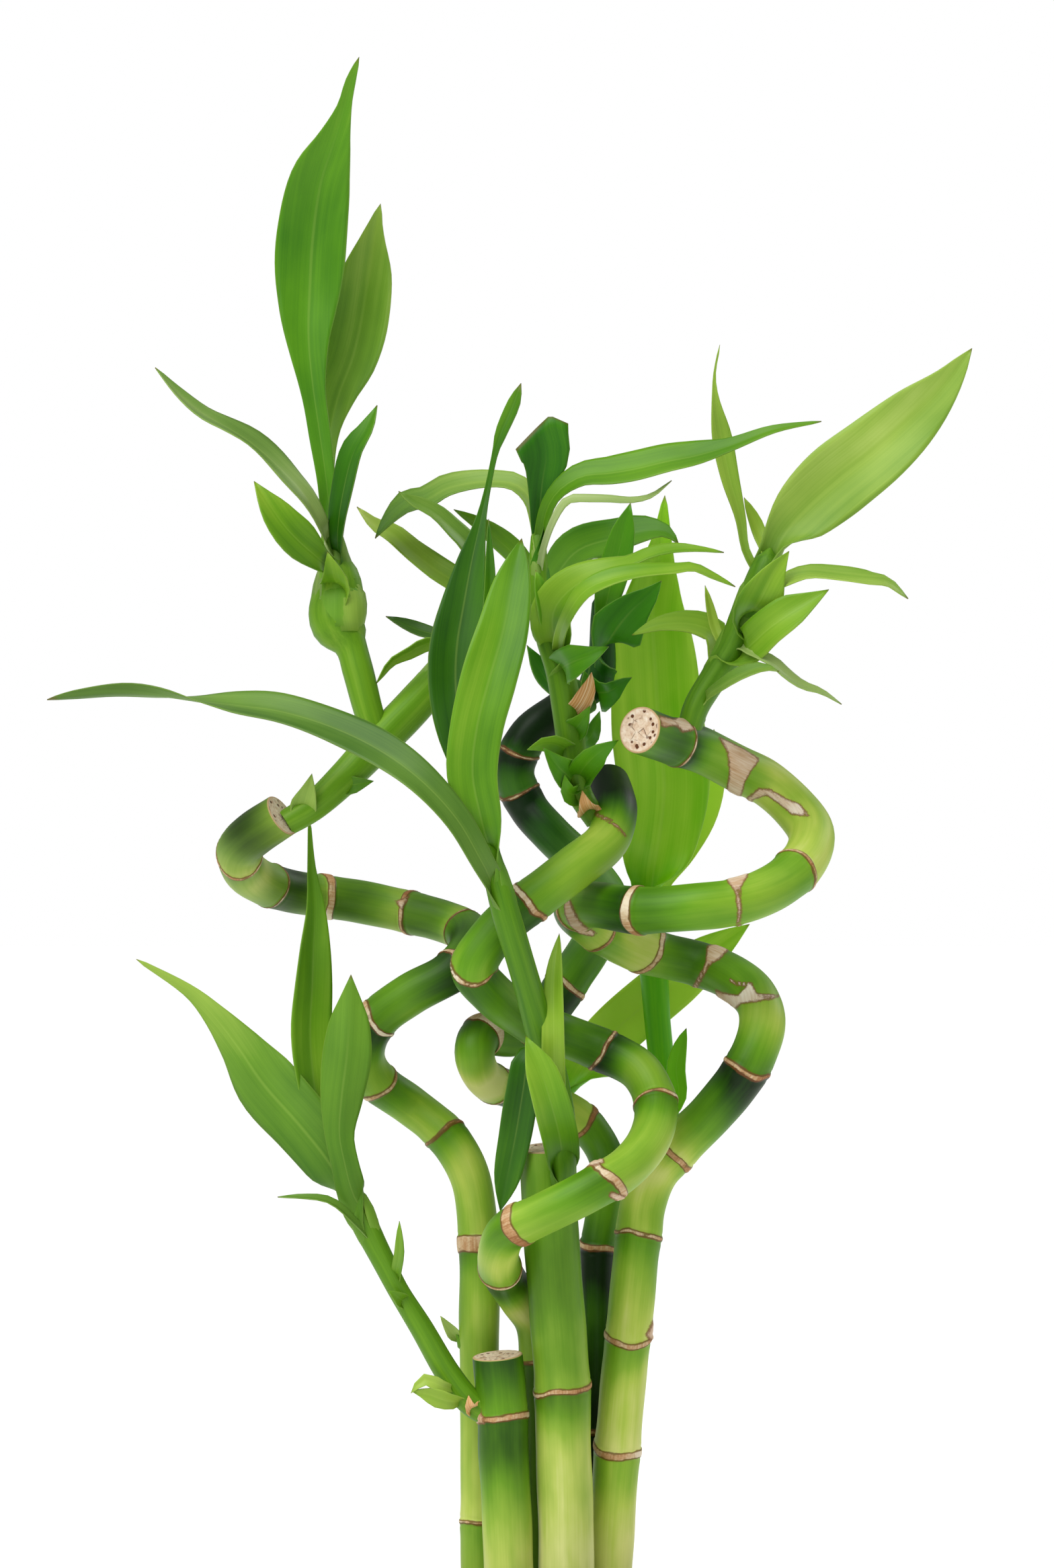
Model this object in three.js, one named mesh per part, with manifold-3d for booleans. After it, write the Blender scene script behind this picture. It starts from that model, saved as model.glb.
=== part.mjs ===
// Lucky bamboo: six cut canes, four of them trained into spirals, with leafy shoots.
// They stand in holes in a bed of pebbles, in a plain vase. Millimetres, +Z up, origin under the vase.
import * as THREE from 'three';
import { mergeVertices } from 'three/addons/utils/BufferGeometryUtils.js';
import Module from 'manifold-3d';

const wasm = await Module();
wasm.setup();

// Driving dimensions
const VASE_HEIGHT = 150;
const VASE_FOOT_RADIUS = 36;
const VASE_MOUTH_RADIUS = 41;
const VASE_WALL = 4;
const VASE_FLOOR = 6;
const VASE_EDGE = 1.8;
const VASE_SIDES = 32;
const BED_TOP = 139;
const PEBBLE_COUNT = 30;
const PEBBLE_RADIUS = 6.4;
const CANE_FOOT = 15;
const CANE_SIDES = 10;
const CANE_TURN = THREE.MathUtils.degToRad(20);
const RING_HEIGHT = 0.5;
const RING_HALF = 1.1;
const STEM_SIDES = 8;
const STEM_STEP = 14;
const BLADE_THICKNESS = 0.9;
const BLADE_STEP = 15;
const TIP_WIDTH = 0.9;
const GAP = 0.3;

// The reference view: one pixel is this many millimetres at the vase's axis
const MM_PER_PIXEL = 0.18;
const VIEW_DISTANCE = 1500;
const VIEW_TILT = THREE.MathUtils.degToRad(3);
const VIEW_AIM = new THREE.Vector3(-5.6, 0, 370);
const VIEW_MIDDLE = { across: 784, down: 1166.5 };

// Depths are read for the straight feet; from the feet's row up to the coils' row they grow by this much
const COIL_DEPTH = 1.6;
const FEET_ROW = 2050;
const COIL_ROW = 1750;

// Leaf widths from base to tip, as parts of the full width
const LANCE = [0.4, 0.5, 0.76, 0.95, 1, 0.92, 0.74, 0.46, 0.05];
const BRACT = [0.9, 1, 0.9, 0.6, 0.05];

const COLOURS = {
  vase: '#eceae4',
  pebbles: '#a39a8c',
  cane: '#7fa646',
  paleCane: '#9fb85c',
  shoot: '#5c9a2e',
  darkShoot: '#2f6b1a',
  brightShoot: '#7dbb1c',
};

// A row of a cane's route is [across, down, back]: pixels of the view, and a depth behind the vase's axis.
// A ring is a place on the route, counted in rows from the foot.
const CANES = [
  {
    name: 'cane_stub',
    colour: COLOURS.cane,
    radius: [6.8, 6.9],
    route: [[757, 2333, -12], [752, 2220, -12], [749, 2160, -12], [748, 2105, -12], [740, 2018, -12]],
    rings: [4],
  },
  {
    name: 'cane_left',
    colour: COLOURS.paleCane,
    radius: [5.5, 6.1],
    route: [
      [715, 2333, 5], [713, 1984, 5], [709, 1802, 5], [695, 1740, 6], [662, 1688, 8], [610, 1645, 10],
      [559, 1606, 6], [541, 1568, 2], [561, 1518, -2], [610, 1480, -4], [672, 1445, -4], [700, 1408, 1],
      [690, 1384, 7], [660, 1371, 10], [600, 1355, 13], [540, 1343, 14], [485, 1334, 13],
      [430, 1325, 9], [388, 1312, 3], [362, 1291, -3], [358, 1262, -8], [380, 1239, -12],
      [418, 1214, -14],
    ],
    rings: [1.18, 2.7, 5, 6.9, 9, 11.1, 12.9, 14.8, 17, 18.6, 20.75],
  },
  {
    name: 'cane_middle',
    colour: COLOURS.cane,
    radius: [5.4, 6.2],
    route: [
      [803, 2333, 5], [803, 2200, 5], [803, 2080, 5], [802, 2010, 4], [795, 1965, 2.5], [772, 1932, -1],
      [750, 1900, -8], [741, 1866, -17], [756, 1832, -23], [804, 1808, -26], [870, 1775, -26],
      [935, 1735, -20], [968, 1690, -14], [975, 1640, -8], [950, 1592, -4], [897, 1563, -2],
      [840, 1541, -2], [778, 1513, -6], [730, 1476, -14], [705, 1440, -17], [735, 1390, -17],
      [784, 1345, -16], [850, 1295, -12], [903, 1250, -5], [915, 1208, 1], [911, 1186, 6],
      [904, 1168, 11],
    ],
    rings: [3.83, 7.4, 9.42, 11.5, 13.92, 16, 17.7, 20.15, 22.05],
  },
  {
    name: 'cane_right',
    colour: COLOURS.cane,
    radius: [6.3, 6.4],
    route: [
      [907, 2333, 3], [950, 1840, 3], [957, 1790, 4], [975, 1745, 5], [1010, 1705, 5], [1060, 1655, 2],
      [1110, 1590, -2], [1133, 1530, 0], [1125, 1485, 6], [1090, 1455, 12], [1040, 1435, 17],
      [960, 1415, 16], [895, 1385, 10], [858, 1355, 3], [885, 1346, -4], [955, 1355, -13],
      [1030, 1350, -16], [1100, 1340, -14], [1160, 1315, -8], [1200, 1275, -1], [1205, 1235, 5],
      [1180, 1200, 8], [1140, 1165, 8], [1100, 1145, 5], [1040, 1115, 0], [990, 1100, -6],
      [952, 1086, -13],
    ],
    rings: [1.31, 1.617, 2.02, 4.75, 7, 11.95, 13.1, 14.3, 15.95, 19.5, 25.6],
  },
  {
    name: 'cane_centre',
    colour: COLOURS.paleCane,
    radius: [7.6, 7.6],
    route: [
      [842, 2333, -9.5], [841, 2225, -9.5], [840, 2195, -9.5], [838, 2140, -9.5], [836, 2055, -9.5],
      [821, 1850, -9.5], [814, 1709, -9.5],
    ],
    rings: [4.9],
  },
  {
    name: 'cane_back',
    colour: COLOURS.cane,
    radius: [5, 5, 5.2, 5.9, 5.6, 5.3],
    route: [
      [885, 2333, 14], [888, 2130, 14], [888, 1980, 14], [889, 1870, 14], [900, 1790, 14],
      [905, 1735, 14], [885, 1690, 16], [850, 1655, 16], [800, 1634, 15], [753, 1619, 10],
      [719, 1603, 4], [706, 1566, -1], [716, 1541, 2], [765, 1540, 8], [806, 1514, 13], [848, 1455, 18],
      [882, 1403, 24], [905, 1350, 24], [870, 1290, 15], [820, 1240, 12], [785, 1200, 14],
      [765, 1150, 14], [785, 1095, 14], [830, 1060, 16], [870, 1035, 18],
    ],
    rings: [2, 4.15, 7.45, 10.55, 13.15, 15.8, 21.45, 22.5],
  },
];

// A row of a stem is [across, down, back, radius]. Leaf routes run from base to tip; width is in mm,
// and the rolls turn the blade about its midrib, 0 facing the view, in degrees from base to tip.
// A leaf that ends to the right of its base turns the other way, so that its fold stays upright.
const SHOOTS = [
  {
    name: 'shoot_left',
    cane: 'cane_left',
    colour: COLOURS.shoot,
    stems: [
      [
        [425, 1225, -13, 3.4], [465, 1200, -12, 3.8], [510, 1160, -10, 4.4], [560, 1108, -6, 4.9],
        [620, 1045, -1, 5.1], [660, 998, 3, 4.6], [690, 940, 6, 3.2],
      ],
      [
        [572, 1120, -5, 2.8], [551, 1068, -5, 3.8], [533, 1000, -4, 4], [522, 962, -3, 4.3],
        [503, 930, -2, 7], [502, 898, -1, 7.2], [505, 862, -1, 5.6], [495, 830, 0, 3.6],
        [493, 770, 1, 2],
      ],
    ],
    leaves: [
      {
        route: [
          [497, 810, 0], [486, 720, 0], [475, 640, 1], [465, 570, 2], [459, 500, 3], [461, 430, 4],
          [466, 350, 4], [478, 270, 3], [496, 214, 1], [511, 165, -1], [521, 123, -3], [534, 85, -6],
        ],
        width: 19.5,
        profile: [0.22, 0.24, 0.3, 0.34, 0.53, 0.8, 0.99, 0.95, 0.76, 0.43, 0.2, 0.14, 0.03],
        rolls: [0, 8, 0],
      },
      {
        route: [
          [496, 790, 1.5], [488, 700, 6], [492, 640, 8], [504, 588, 9], [524, 535, 10], [537, 481, 11],
          [548, 407, 11], [557, 344, 10], [566, 303, 9],
        ],
        width: 16.5,
        profile: [0.2, 0.22, 0.34, 0.62, 0.9, 1, 0.85, 0.33, 0.04],
        rolls: [10, 15, 10],
      },
      {
        route: [
          [492, 825, -3], [475, 775, -6], [455, 740, -8], [430, 712, -9], [400, 682, -9],
          [370, 657, -9], [340, 638, -9], [300, 615, -8], [262, 583, -6], [231, 547, -4],
        ],
        width: 11,
        rolls: [50, 66, 62],
      },
      {
        route: [
          [486, 862, -3.5], [470, 828, -9], [447, 808, -11], [425, 785, -12], [400, 750, -12],
          [378, 716, -11],
        ],
        width: 11,
        rolls: [25, 30, 25],
      },
      {
        route: [
          [504, 850, -3], [503, 790, -5], [509, 744, -6], [527, 672, -7], [546, 640, -7],
          [561, 603, -6],
        ],
        width: 9,
        rolls: [40, 50, 40],
      },
      {
        route: [[502, 902, -1.5], [500, 874, -5], [494, 848, -7.5], [487, 821, -8]],
        width: 12.5,
        profile: [1, 1, 0.78, 0.1],
        rolls: [0],
      },
      {
        route: [
          [690, 945, 6], [704, 885, 5], [706, 840, 4], [696, 811, 3], [673, 788, 2], [646, 764, 1],
          [610, 745, 0], [593, 731, 0],
        ],
        width: 8,
        rolls: [20, 50, 50],
      },
      {
        route: [
          [688, 945, 7], [692, 893, 9], [680, 870, 10], [646, 847, 11], [615, 823, 12], [582, 794, 13],
          [558, 782, 13], [531, 754, 13],
        ],
        width: 9,
        rolls: [20, 45, 45],
      },
      {
        route: [[672, 972, 4], [653, 949, 5], [620, 937, 6], [598, 928, 6], [574, 917, 6]],
        width: 5,
        rolls: [40, 50, 50],
      },
      {
        route: [
          [668, 985, 2], [653, 957, -2], [631, 958, -3], [608, 970, -4], [582, 984, -5],
          [560, 1017, -5],
        ],
        width: 5.5,
        rolls: [-30, -50, -50],
      },
      {
        route: [[446, 1214, -14], [456, 1185, -15], [464, 1151, -15]],
        width: 7,
        profile: BRACT,
        rolls: [0],
      },
      {
        route: [[505, 1178, -12], [530, 1167, -12], [556, 1162, -12]],
        width: 5,
        profile: BRACT,
        rolls: [0],
      },
    ],
  },
  {
    name: 'shoot_front',
    cane: 'cane_centre',
    colour: COLOURS.shoot,
    stems: [
      [
        [836, 1772, -13, 2.8], [838, 1730, -16, 3.6], [833, 1680, -17, 4.4], [824, 1620, -17, 4.4],
        [808, 1550, -18, 4.1], [792, 1492, -21, 3.9], [774, 1430, -25, 3.7], [755, 1367, -27, 3.7],
        [738, 1305, -27, 3.3], [722, 1250, -27, 2.3],
      ],
    ],
    leaves: [
      {
        route: [
          [736, 1300, -28], [715, 1215, -29], [703, 1150, -29], [710, 1080, -29], [728, 1010, -28],
          [748, 940, -26], [762, 870, -23], [776, 801, -19],
        ],
        width: 14.6,
        profile: [0.45, 0.75, 0.9, 0.95, 1, 0.92, 0.68, 0.05],
        rolls: [0, 5, 10],
      },
      {
        route: [
          [730, 1290, -25.5], [705, 1150, -21], [686, 1080, -19], [678, 1020, -17], [680, 960, -16],
          [690, 900, -15], [702, 835, -14], [715, 776, -13], [725, 730, -12], [737, 673, -12],
          [746, 644, -12], [765, 600, -12], [775, 570, -12],
        ],
        width: 14,
        profile: [0.4, 0.75, 0.95, 1, 1, 0.85, 0.55, 0.22, 0.12, 0.12, 0.24, 0.26, 0.04],
        rolls: [0, 10, 20],
      },
      {
        route: [
          [748, 1345, -28], [715, 1280, -31], [680, 1220, -32], [630, 1165, -31], [570, 1120, -28],
          [500, 1085, -24], [420, 1060, -20], [350, 1050, -17], [295, 1044, -16], [240, 1036, -15],
          [180, 1031, -14], [110, 1036, -13], [70, 1041, -12],
        ],
        width: 11.5,
        profile: [0.5, 0.62, 0.82, 0.95, 1, 0.92, 0.75, 0.5, 0.05],
        rolls: [30, 30, 35, 50, 84, 122, 125],
      },
      {
        route: [
          [838, 1755, -15.5], [834, 1700, -20.5], [822, 1650, -24], [805, 1595, -24.5],
          [790, 1560, -24], [782, 1541, -23],
        ],
        width: 10,
        profile: [0.75, 0.95, 1, 0.85, 0.5, 0.05],
        rolls: [10],
      },
      {
        route: [[829, 1640, -18.5], [824, 1530, -22], [825, 1450, -20], [832, 1389, -17]],
        width: 6.4,
        profile: BRACT,
        rolls: [20],
      },
      {
        route: [
          [806, 1548, -17], [788, 1572, -17], [778, 1625, -16], [768, 1685, -14], [755, 1751, -12],
          [744, 1802, -11],
        ],
        width: 8.8,
        profile: [0.7, 0.9, 1, 1, 0.82, 0.08],
        rolls: [10, 10, 20],
      },
      {
        route: [
          [733, 1290, -26.5], [722, 1150, -25], [722, 1050, -24], [727, 950, -22], [729, 860, -20],
          [727, 772, -19],
        ],
        width: 4.5,
        rolls: [10],
      },
    ],
  },
  {
    name: 'shoot_middle',
    cane: 'cane_middle',
    colour: COLOURS.shoot,
    stems: [
      [
        [888, 1222, -1, 3], [862, 1180, -1, 3.3], [852, 1122, -1, 3.7], [844, 1060, -1, 3.9],
        [833, 997, -1, 3.8], [815, 945, 0, 3.4], [805, 895, 0, 3], [801, 840, 1, 2.5],
        [801, 780, 2, 1.7],
      ],
    ],
    leaves: [
      {
        route: [[803, 840, 1], [802, 770, 0], [807, 715, -1], [812, 680, -1.5], [806, 648, -2]],
        width: 15,
        profile: [0.26, 0.31, 0.55, 0.85, 1],
        rolls: [0],
      },
      {
        route: [
          [804, 830, 0], [822, 742, -3], [862, 711, -4], [908, 705, -5], [943, 699, -6], [994, 687, -7],
          [1035, 679, -7], [1086, 664, -7], [1150, 640, -7], [1222, 627, -6],
        ],
        width: 12.5,
        profile: [0.3, 0.4, 0.7, 0.87, 0.95, 1, 0.85, 0.42, 0.24, 0.05],
        rolls: [20, 50, 50, 50, 45],
      },
      {
        route: [
          [805, 860, -1], [824, 775, -7], [846, 745, -9], [877, 743, -10], [908, 744, -10],
          [938, 746, -10], [969, 739, -9], [999, 715, -8],
        ],
        width: 4.5,
        rolls: [30, 60, 66, 60],
      },
      {
        route: [
          [800, 830, 3], [792, 748, 5], [768, 722, 6], [740, 717, 7], [696, 720, 8], [661, 729, 9],
          [637, 743, 9], [606, 752, 8], [579, 776, 7], [558, 801, 6],
        ],
        width: 11.5,
        profile: [0.4, 0.5, 0.6, 0.65, 0.8, 0.95, 0.95, 1, 0.85, 0.06],
        rolls: [20, 55, 58, 50],
      },
      {
        route: [
          [806, 900, 1.2], [790, 858, 9], [765, 826, 11], [740, 803, 12], [719, 785, 13],
          [675, 758, 13],
        ],
        width: 8,
        rolls: [20, 40, 40],
      },
      {
        route: [
          [811, 930, 1.8], [820, 880, 6], [836, 845, 11], [866, 816, 17], [915, 801, 20],
          [958, 790, 20.5], [990, 792, 20], [1010, 810, 19],
        ],
        width: 12.5,
        rolls: [25, 35, 40, 45],
      },
      {
        route: [
          [828, 990, -2.6], [824, 910, -9], [846, 880, -11], [882, 858, -13], [920, 846, -14],
          [942, 839, -14], [969, 827, -14], [1002, 819, -13], [1040, 818, -13], [1077, 822, -12],
        ],
        width: 12.5,
        profile: [0.7, 0.95, 0.95, 0.85, 0.8, 0.72, 0.6, 0.45, 0.22, 0.05],
        rolls: [10, 35, 68, 65, 60],
      },
      {
        route: [
          [831, 985, -2.8], [845, 915, -15], [870, 880, -18], [900, 865, -19], [943, 855, -19],
          [1004, 849, -18], [1031, 846, -17], [1061, 858, -16], [1094, 873, -15],
        ],
        width: 7.5,
        rolls: [15, 50, 66, 60],
      },
      {
        route: [[818, 965, -2.5], [812, 905, -8], [797, 848, -9]],
        width: 5.5,
        rolls: [20],
      },
      {
        route: [[843, 1060, 1], [808, 1005, 8], [784, 960, 9]],
        width: 6,
        rolls: [30],
      },
      {
        route: [[832, 1003, -2.8], [850, 986, -9], [878, 975, -11], [906, 962, -11]],
        width: 9.5,
        profile: BRACT,
        rolls: [15],
      },
      {
        route: [[856, 1172, -2.5], [830, 1140, -8], [808, 1112, -9]],
        width: 8.5,
        profile: BRACT,
        rolls: [20],
      },
      {
        route: [[850, 1128, -3], [816, 1106, -6], [784, 1116, -6]],
        width: 6,
        profile: BRACT,
        rolls: [-20],
      },
      {
        route: [[862, 1168, -2.5], [884, 1125, -9], [920, 1101, -10]],
        width: 8,
        profile: BRACT,
        rolls: [-20],
      },
      {
        route: [[858, 1195, -3], [844, 1176, -6.5], [840, 1152, -7]],
        width: 6,
        profile: BRACT,
        rolls: [10],
      },
      {
        route: [[855, 1120, 0.6], [880, 1094, 6], [892, 1058, 7]],
        width: 5,
        profile: BRACT,
        rolls: [10],
      },
      {
        route: [[850, 1098, -2], [866, 1072, -5], [878, 1050, -6]],
        width: 6.5,
        profile: BRACT,
        rolls: [0],
      },
      {
        route: [[846, 1072, -1], [864, 1048, -4], [876, 1022, -5], [880, 1000, -5]],
        width: 5.5,
        profile: BRACT,
        rolls: [0],
      },
      {
        route: [[880, 1216, -3.5], [871, 1198, -5], [866, 1176, -5]],
        width: 7.5,
        profile: BRACT,
        rolls: [0],
      },
    ],
  },
  {
    name: 'shoot_right',
    cane: 'cane_right',
    colour: COLOURS.shoot,
    stems: [
      [
        [1022, 1100, -3, 3.2], [1036, 1052, -3, 3.6], [1062, 1008, -2, 3.8], [1091, 962, -1, 4.2],
        [1108, 925, 0, 4.8], [1126, 888, 0, 5], [1138, 850, 0, 4.4], [1146, 815, 0, 2.6],
      ],
    ],
    leaves: [
      {
        route: [
          [1138, 842, 0], [1162, 800, 1], [1200, 758, 2], [1248, 715, 3], [1300, 674, 3],
          [1356, 624, 3], [1406, 573, 2], [1446, 518, 1],
        ],
        width: 20,
        profile: [0.3, 0.5, 0.82, 0.98, 1, 0.94, 0.74, 0.4, 0.05],
        rolls: [5, 10, 10],
      },
      {
        route: [
          [1124, 870, -1], [1109, 818, 1], [1101, 770, 3], [1085, 710, 4], [1073, 650, 4],
          [1064, 592, 3], [1063, 557, 3], [1071, 513, 2],
        ],
        width: 5.6,
        profile: [0.5, 0.4, 0.55, 0.93, 1, 0.35, 0.12, 0.08],
        rolls: [20, 15, 10],
      },
      {
        route: [[1136, 845, 2], [1128, 790, 5], [1107, 740, 6]],
        width: 4,
        rolls: [20],
      },
      {
        route: [[1108, 938, -3.5], [1131, 892, -6.5], [1152, 852, -7], [1174, 820, -7]],
        width: 12.6,
        profile: [1, 1, 0.8, 0.1],
        rolls: [-10],
      },
      {
        route: [
          [1124, 890, -1.5], [1165, 866, -5], [1200, 856, -6], [1248, 860, -7], [1294, 865, -7],
          [1320, 868, -6], [1351, 891, -5],
        ],
        width: 9.5,
        rolls: [40, 64, 66, 60],
      },
      {
        route: [
          [1092, 985, -3], [1114, 962, -6], [1142, 937, -8], [1174, 914, -9], [1205, 895, -9],
          [1233, 877, -9],
        ],
        width: 10.6,
        profile: [0.85, 1, 1, 0.96, 0.72, 0.06],
        rolls: [20, 30, 30],
      },
      {
        route: [
          [1044, 1056, -5], [1079, 1017, -9], [1110, 1001, -10], [1138, 994, -10], [1159, 999, -10],
        ],
        width: 6,
        rolls: [40, 55, 55],
      },
      {
        route: [
          [1086, 960, -3], [1118, 971, -7], [1148, 986, -8], [1171, 1007, -8], [1194, 1022, -8],
          [1221, 1030, -8], [1252, 1048, -7],
        ],
        width: 5.5,
        rolls: [40, 66, 66],
      },
      {
        route: [
          [1046, 1040, 0], [1064, 985, 3], [1062, 944, 5], [1034, 930, 5], [985, 930, 4], [940, 945, 3],
        ],
        width: 9,
        rolls: [20, 45, 50],
      },
      {
        route: [[1070, 985, 1], [1062, 929, 2], [1049, 871, 2]],
        width: 3,
        rolls: [20],
      },
    ],
  },
  {
    name: 'shoot_low_left',
    cane: 'cane_stub',
    colour: COLOURS.shoot,
    stems: [
      [
        [738, 2110, -13, 3.2], [700, 2086, -13, 3.5], [666, 2043, -13, 3.35], [625, 1973, -13, 3.1],
        [592, 1918, -13, 2.75], [571, 1877, -13, 2.95], [549, 1835, -13, 3.3], [531, 1797, -13, 3.8],
        [519, 1768, -13, 3],
      ],
    ],
    leaves: [
      {
        route: [
          [539, 1815, -13.4], [513, 1768, -13.2], [484, 1722, -12.4], [443, 1671, -10.4],
          [391, 1612, -7], [353, 1557, -5.5], [320, 1514, -4.5], [285, 1478, -3.5], [203, 1427, -3],
        ],
        width: 19,
        profile: [0.5, 0.6, 0.82, 0.9, 0.97, 0.62, 0.36, 0.2, 0.04],
        rolls: [175, 165, 170],
      },
      {
        route: [
          [521, 1780, -12.2], [484, 1700, -6.5], [468, 1620, -7], [461, 1540, -7], [464, 1470, -6],
          [466, 1410, -6], [468, 1350, -6], [463, 1290, -6], [460, 1218, -6],
        ],
        width: 11.8,
        profile: [0.4, 0.55, 0.86, 1, 0.95, 0.77, 0.46, 0.2, 0.06],
        rolls: [20, 28, 28],
      },
      {
        route: [
          [536, 1812, -14], [522, 1768, -16.5], [512, 1727, -17.5], [505, 1689, -17.5],
          [508, 1635, -18], [516, 1571, -18], [520, 1510, -17], [522, 1450, -16],
        ],
        width: 13,
        profile: [0.55, 0.6, 0.56, 0.6, 0.86, 1, 0.74, 0.05],
        rolls: [180],
      },
      {
        route: [
          [560, 1862, -14.5], [528, 1818, -17], [490, 1788, -18], [452, 1782, -18], [413, 1781, -17],
        ],
        width: 3.6,
        rolls: [50, 68, 68],
      },
      {
        route: [[595, 1913, -14], [595, 1860, -18], [594, 1817, -18]],
        width: 3.2,
        profile: BRACT,
        rolls: [30],
      },
      {
        route: [[608, 1945, -14.5], [592, 1930, -17], [577, 1920, -18]],
        width: 4,
        profile: BRACT,
        rolls: [10],
      },
      {
        route: [[676, 2082, -15.5], [655, 2062, -19], [632, 2053, -20], [611, 2073, -20]],
        width: 3.6,
        rolls: [20],
      },
      {
        route: [[696, 2104, -15.5], [664, 2084, -18.5], [636, 2074, -19.5], [612, 2070, -19.5]],
        width: 5.4,
        rolls: [-10],
      },
      {
        route: [[706, 2102, -14.5], [700, 2094, -17.5], [697, 2076, -18]],
        width: 5.5,
        profile: BRACT,
        rolls: [0],
      },
    ],
  },
  {
    name: 'shoot_back_right',
    cane: 'cane_right',
    colour: COLOURS.brightShoot,
    stems: [
      [
        [1004, 1722, 9, 2.6], [997, 1700, 15, 3.2], [991, 1640, 24, 3.4], [985, 1590, 27, 3.5],
        [978, 1520, 28, 3.7], [973, 1450, 29, 4], [962, 1380, 29, 3.4], [951, 1320, 29, 2.6],
      ],
    ],
    leaves: [
      {
        route: [
          [955, 1350, 29], [968, 1312, 30], [980, 1250, 30], [988, 1170, 30], [980, 1080, 29],
          [975, 1000, 29], [971, 920, 28], [976, 860, 27], [984, 805, 26], [989, 737, 25],
        ],
        width: 26,
        profile: [0.25, 0.6, 0.86, 1, 0.95, 0.84, 0.54, 0.25, 0.03],
        rolls: [0, 5, 0],
      },
      {
        route: [
          [960, 1385, 30], [985, 1310, 33], [1012, 1265, 35], [1045, 1208, 36], [1063, 1150, 36],
          [1062, 1085, 35],
        ],
        width: 9.5,
        rolls: [10],
      },
      {
        route: [
          [994, 1672, 20], [1010, 1635, 20], [1006, 1590, 19], [1012, 1558, 18], [1021, 1530, 17],
        ],
        width: 5.2,
        rolls: [10],
      },
    ],
  },
  {
    name: 'shoot_low_back',
    cane: 'cane_back',
    colour: COLOURS.brightShoot,
    stems: [[[874, 1682, 17, 2.2], [856, 1664, 21.5, 2.6], [838, 1648, 24, 2.6], [829, 1630, 25, 1.8]]],
    leaves: [
      {
        route: [
          [836, 1646, 24], [860, 1602, 27], [890, 1563, 30.5], [925, 1524, 33], [975, 1482, 35],
          [1015, 1450, 34.5], [1055, 1418, 32], [1115, 1375, 30],
        ],
        width: 15,
        profile: [0.6, 0.85, 1, 1, 1, 0.95, 0.7, 0.05],
        rolls: [0, 0, 10],
      },
    ],
  },
  {
    name: 'shoot_back',
    cane: 'cane_back',
    colour: COLOURS.darkShoot,
    stems: [
      [
        [868, 1040, 18, 3.2], [890, 1015, 19, 3.8], [896, 970, 19, 3.6], [894, 920, 18, 2.8],
        [892, 880, 17, 1.8],
      ],
    ],
    leaves: [
      {
        route: [[893, 985, 17], [902, 900, 14], [915, 845, 13], [928, 790, 13], [938, 748, 13]],
        width: 8.5,
        rolls: [10],
      },
      {
        route: [[893, 1000, 17.5], [908, 950, 13], [938, 910, 12], [966, 885, 12], [984, 864, 12]],
        width: 17,
        rolls: [-10],
      },
      {
        route: [[890, 1042, 17.2], [908, 1028, 12], [925, 1016, 11], [940, 1008, 11]],
        width: 11,
        profile: BRACT,
        rolls: [-20],
      },
      {
        route: [[884, 1026, 17.5], [874, 1016, 15], [869, 998, 13]],
        width: 5,
        profile: BRACT,
        rolls: [0],
      },
    ],
  },
  {
    name: 'shoot_bud',
    cane: 'cane_left',
    colour: COLOURS.shoot,
    stems: [[[700, 2008, 5, 1.6], [688, 1998, 5, 1.8], [679, 1985, 5, 1.3]]],
    leaves: [
      {
        route: [[690, 2003, 5], [681, 1992, 5], [668, 1976, 4.6], [655, 1958, 4]],
        width: 4.6,
        profile: [1, 0.95, 0.6, 0.06],
        rolls: [0],
      },
    ],
  },
];

// A depth reading in mm
function depthOf(down, back) {
  const rise = THREE.MathUtils.clamp((FEET_ROW - down) / (FEET_ROW - COIL_ROW), 0, 1);
  return back * THREE.MathUtils.lerp(1, COIL_DEPTH, rise);
}

// The point of the model that the view shows at a pixel, at a depth behind the axis
function place([across, down, back]) {
  const forward = new THREE.Vector3(0, Math.cos(VIEW_TILT), -Math.sin(VIEW_TILT));
  const up = new THREE.Vector3(0, Math.sin(VIEW_TILT), Math.cos(VIEW_TILT));
  const eye = VIEW_AIM.clone().addScaledVector(forward, -VIEW_DISTANCE);
  const slope = MM_PER_PIXEL / VIEW_DISTANCE;
  const ray = forward.clone();
  ray.addScaledVector(up, (VIEW_MIDDLE.down - down) * slope);
  ray.x += (across - VIEW_MIDDLE.across) * slope;
  return eye.addScaledVector(ray, (depthOf(down, back) - eye.y) / ray.y);
}

// The value at a share of the way through a list of numbers
function blend(values, share) {
  const spot = share * (values.length - 1);
  const index = Math.min(Math.floor(spot), Math.max(values.length - 2, 0));
  const next = Math.min(index + 1, values.length - 1);
  return THREE.MathUtils.lerp(values[index], values[next], spot - index);
}

// Stations along a curve, as shares of its rows; stepsIn gives their number between two rows
function stationsAlong(curve, stepsIn) {
  const last = curve.points.length - 1;
  const shares = [];
  for (let row = 0; row < last; row += 1) {
    const count = Math.max(1, Math.round(stepsIn(row)));
    for (let part = 0; part < count; part += 1) {
      shares.push((row + part / count) / last);
    }
  }
  shares.push(1);
  return shares;
}

function rowLength(curve, row) {
  return curve.points[row].distanceTo(curve.points[row + 1]);
}

function rowTurn(curve, row) {
  const last = curve.points.length - 1;
  return curve.getTangent(row / last).angleTo(curve.getTangent((row + 1) / last));
}

function closedGeometry(points, faces) {
  const geometry = new THREE.BufferGeometry();
  const numbers = points.flatMap((point) => point.toArray());
  geometry.setAttribute('position', new THREE.Float32BufferAttribute(numbers, 3));
  geometry.setIndex(faces.flat());
  return geometry;
}

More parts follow.
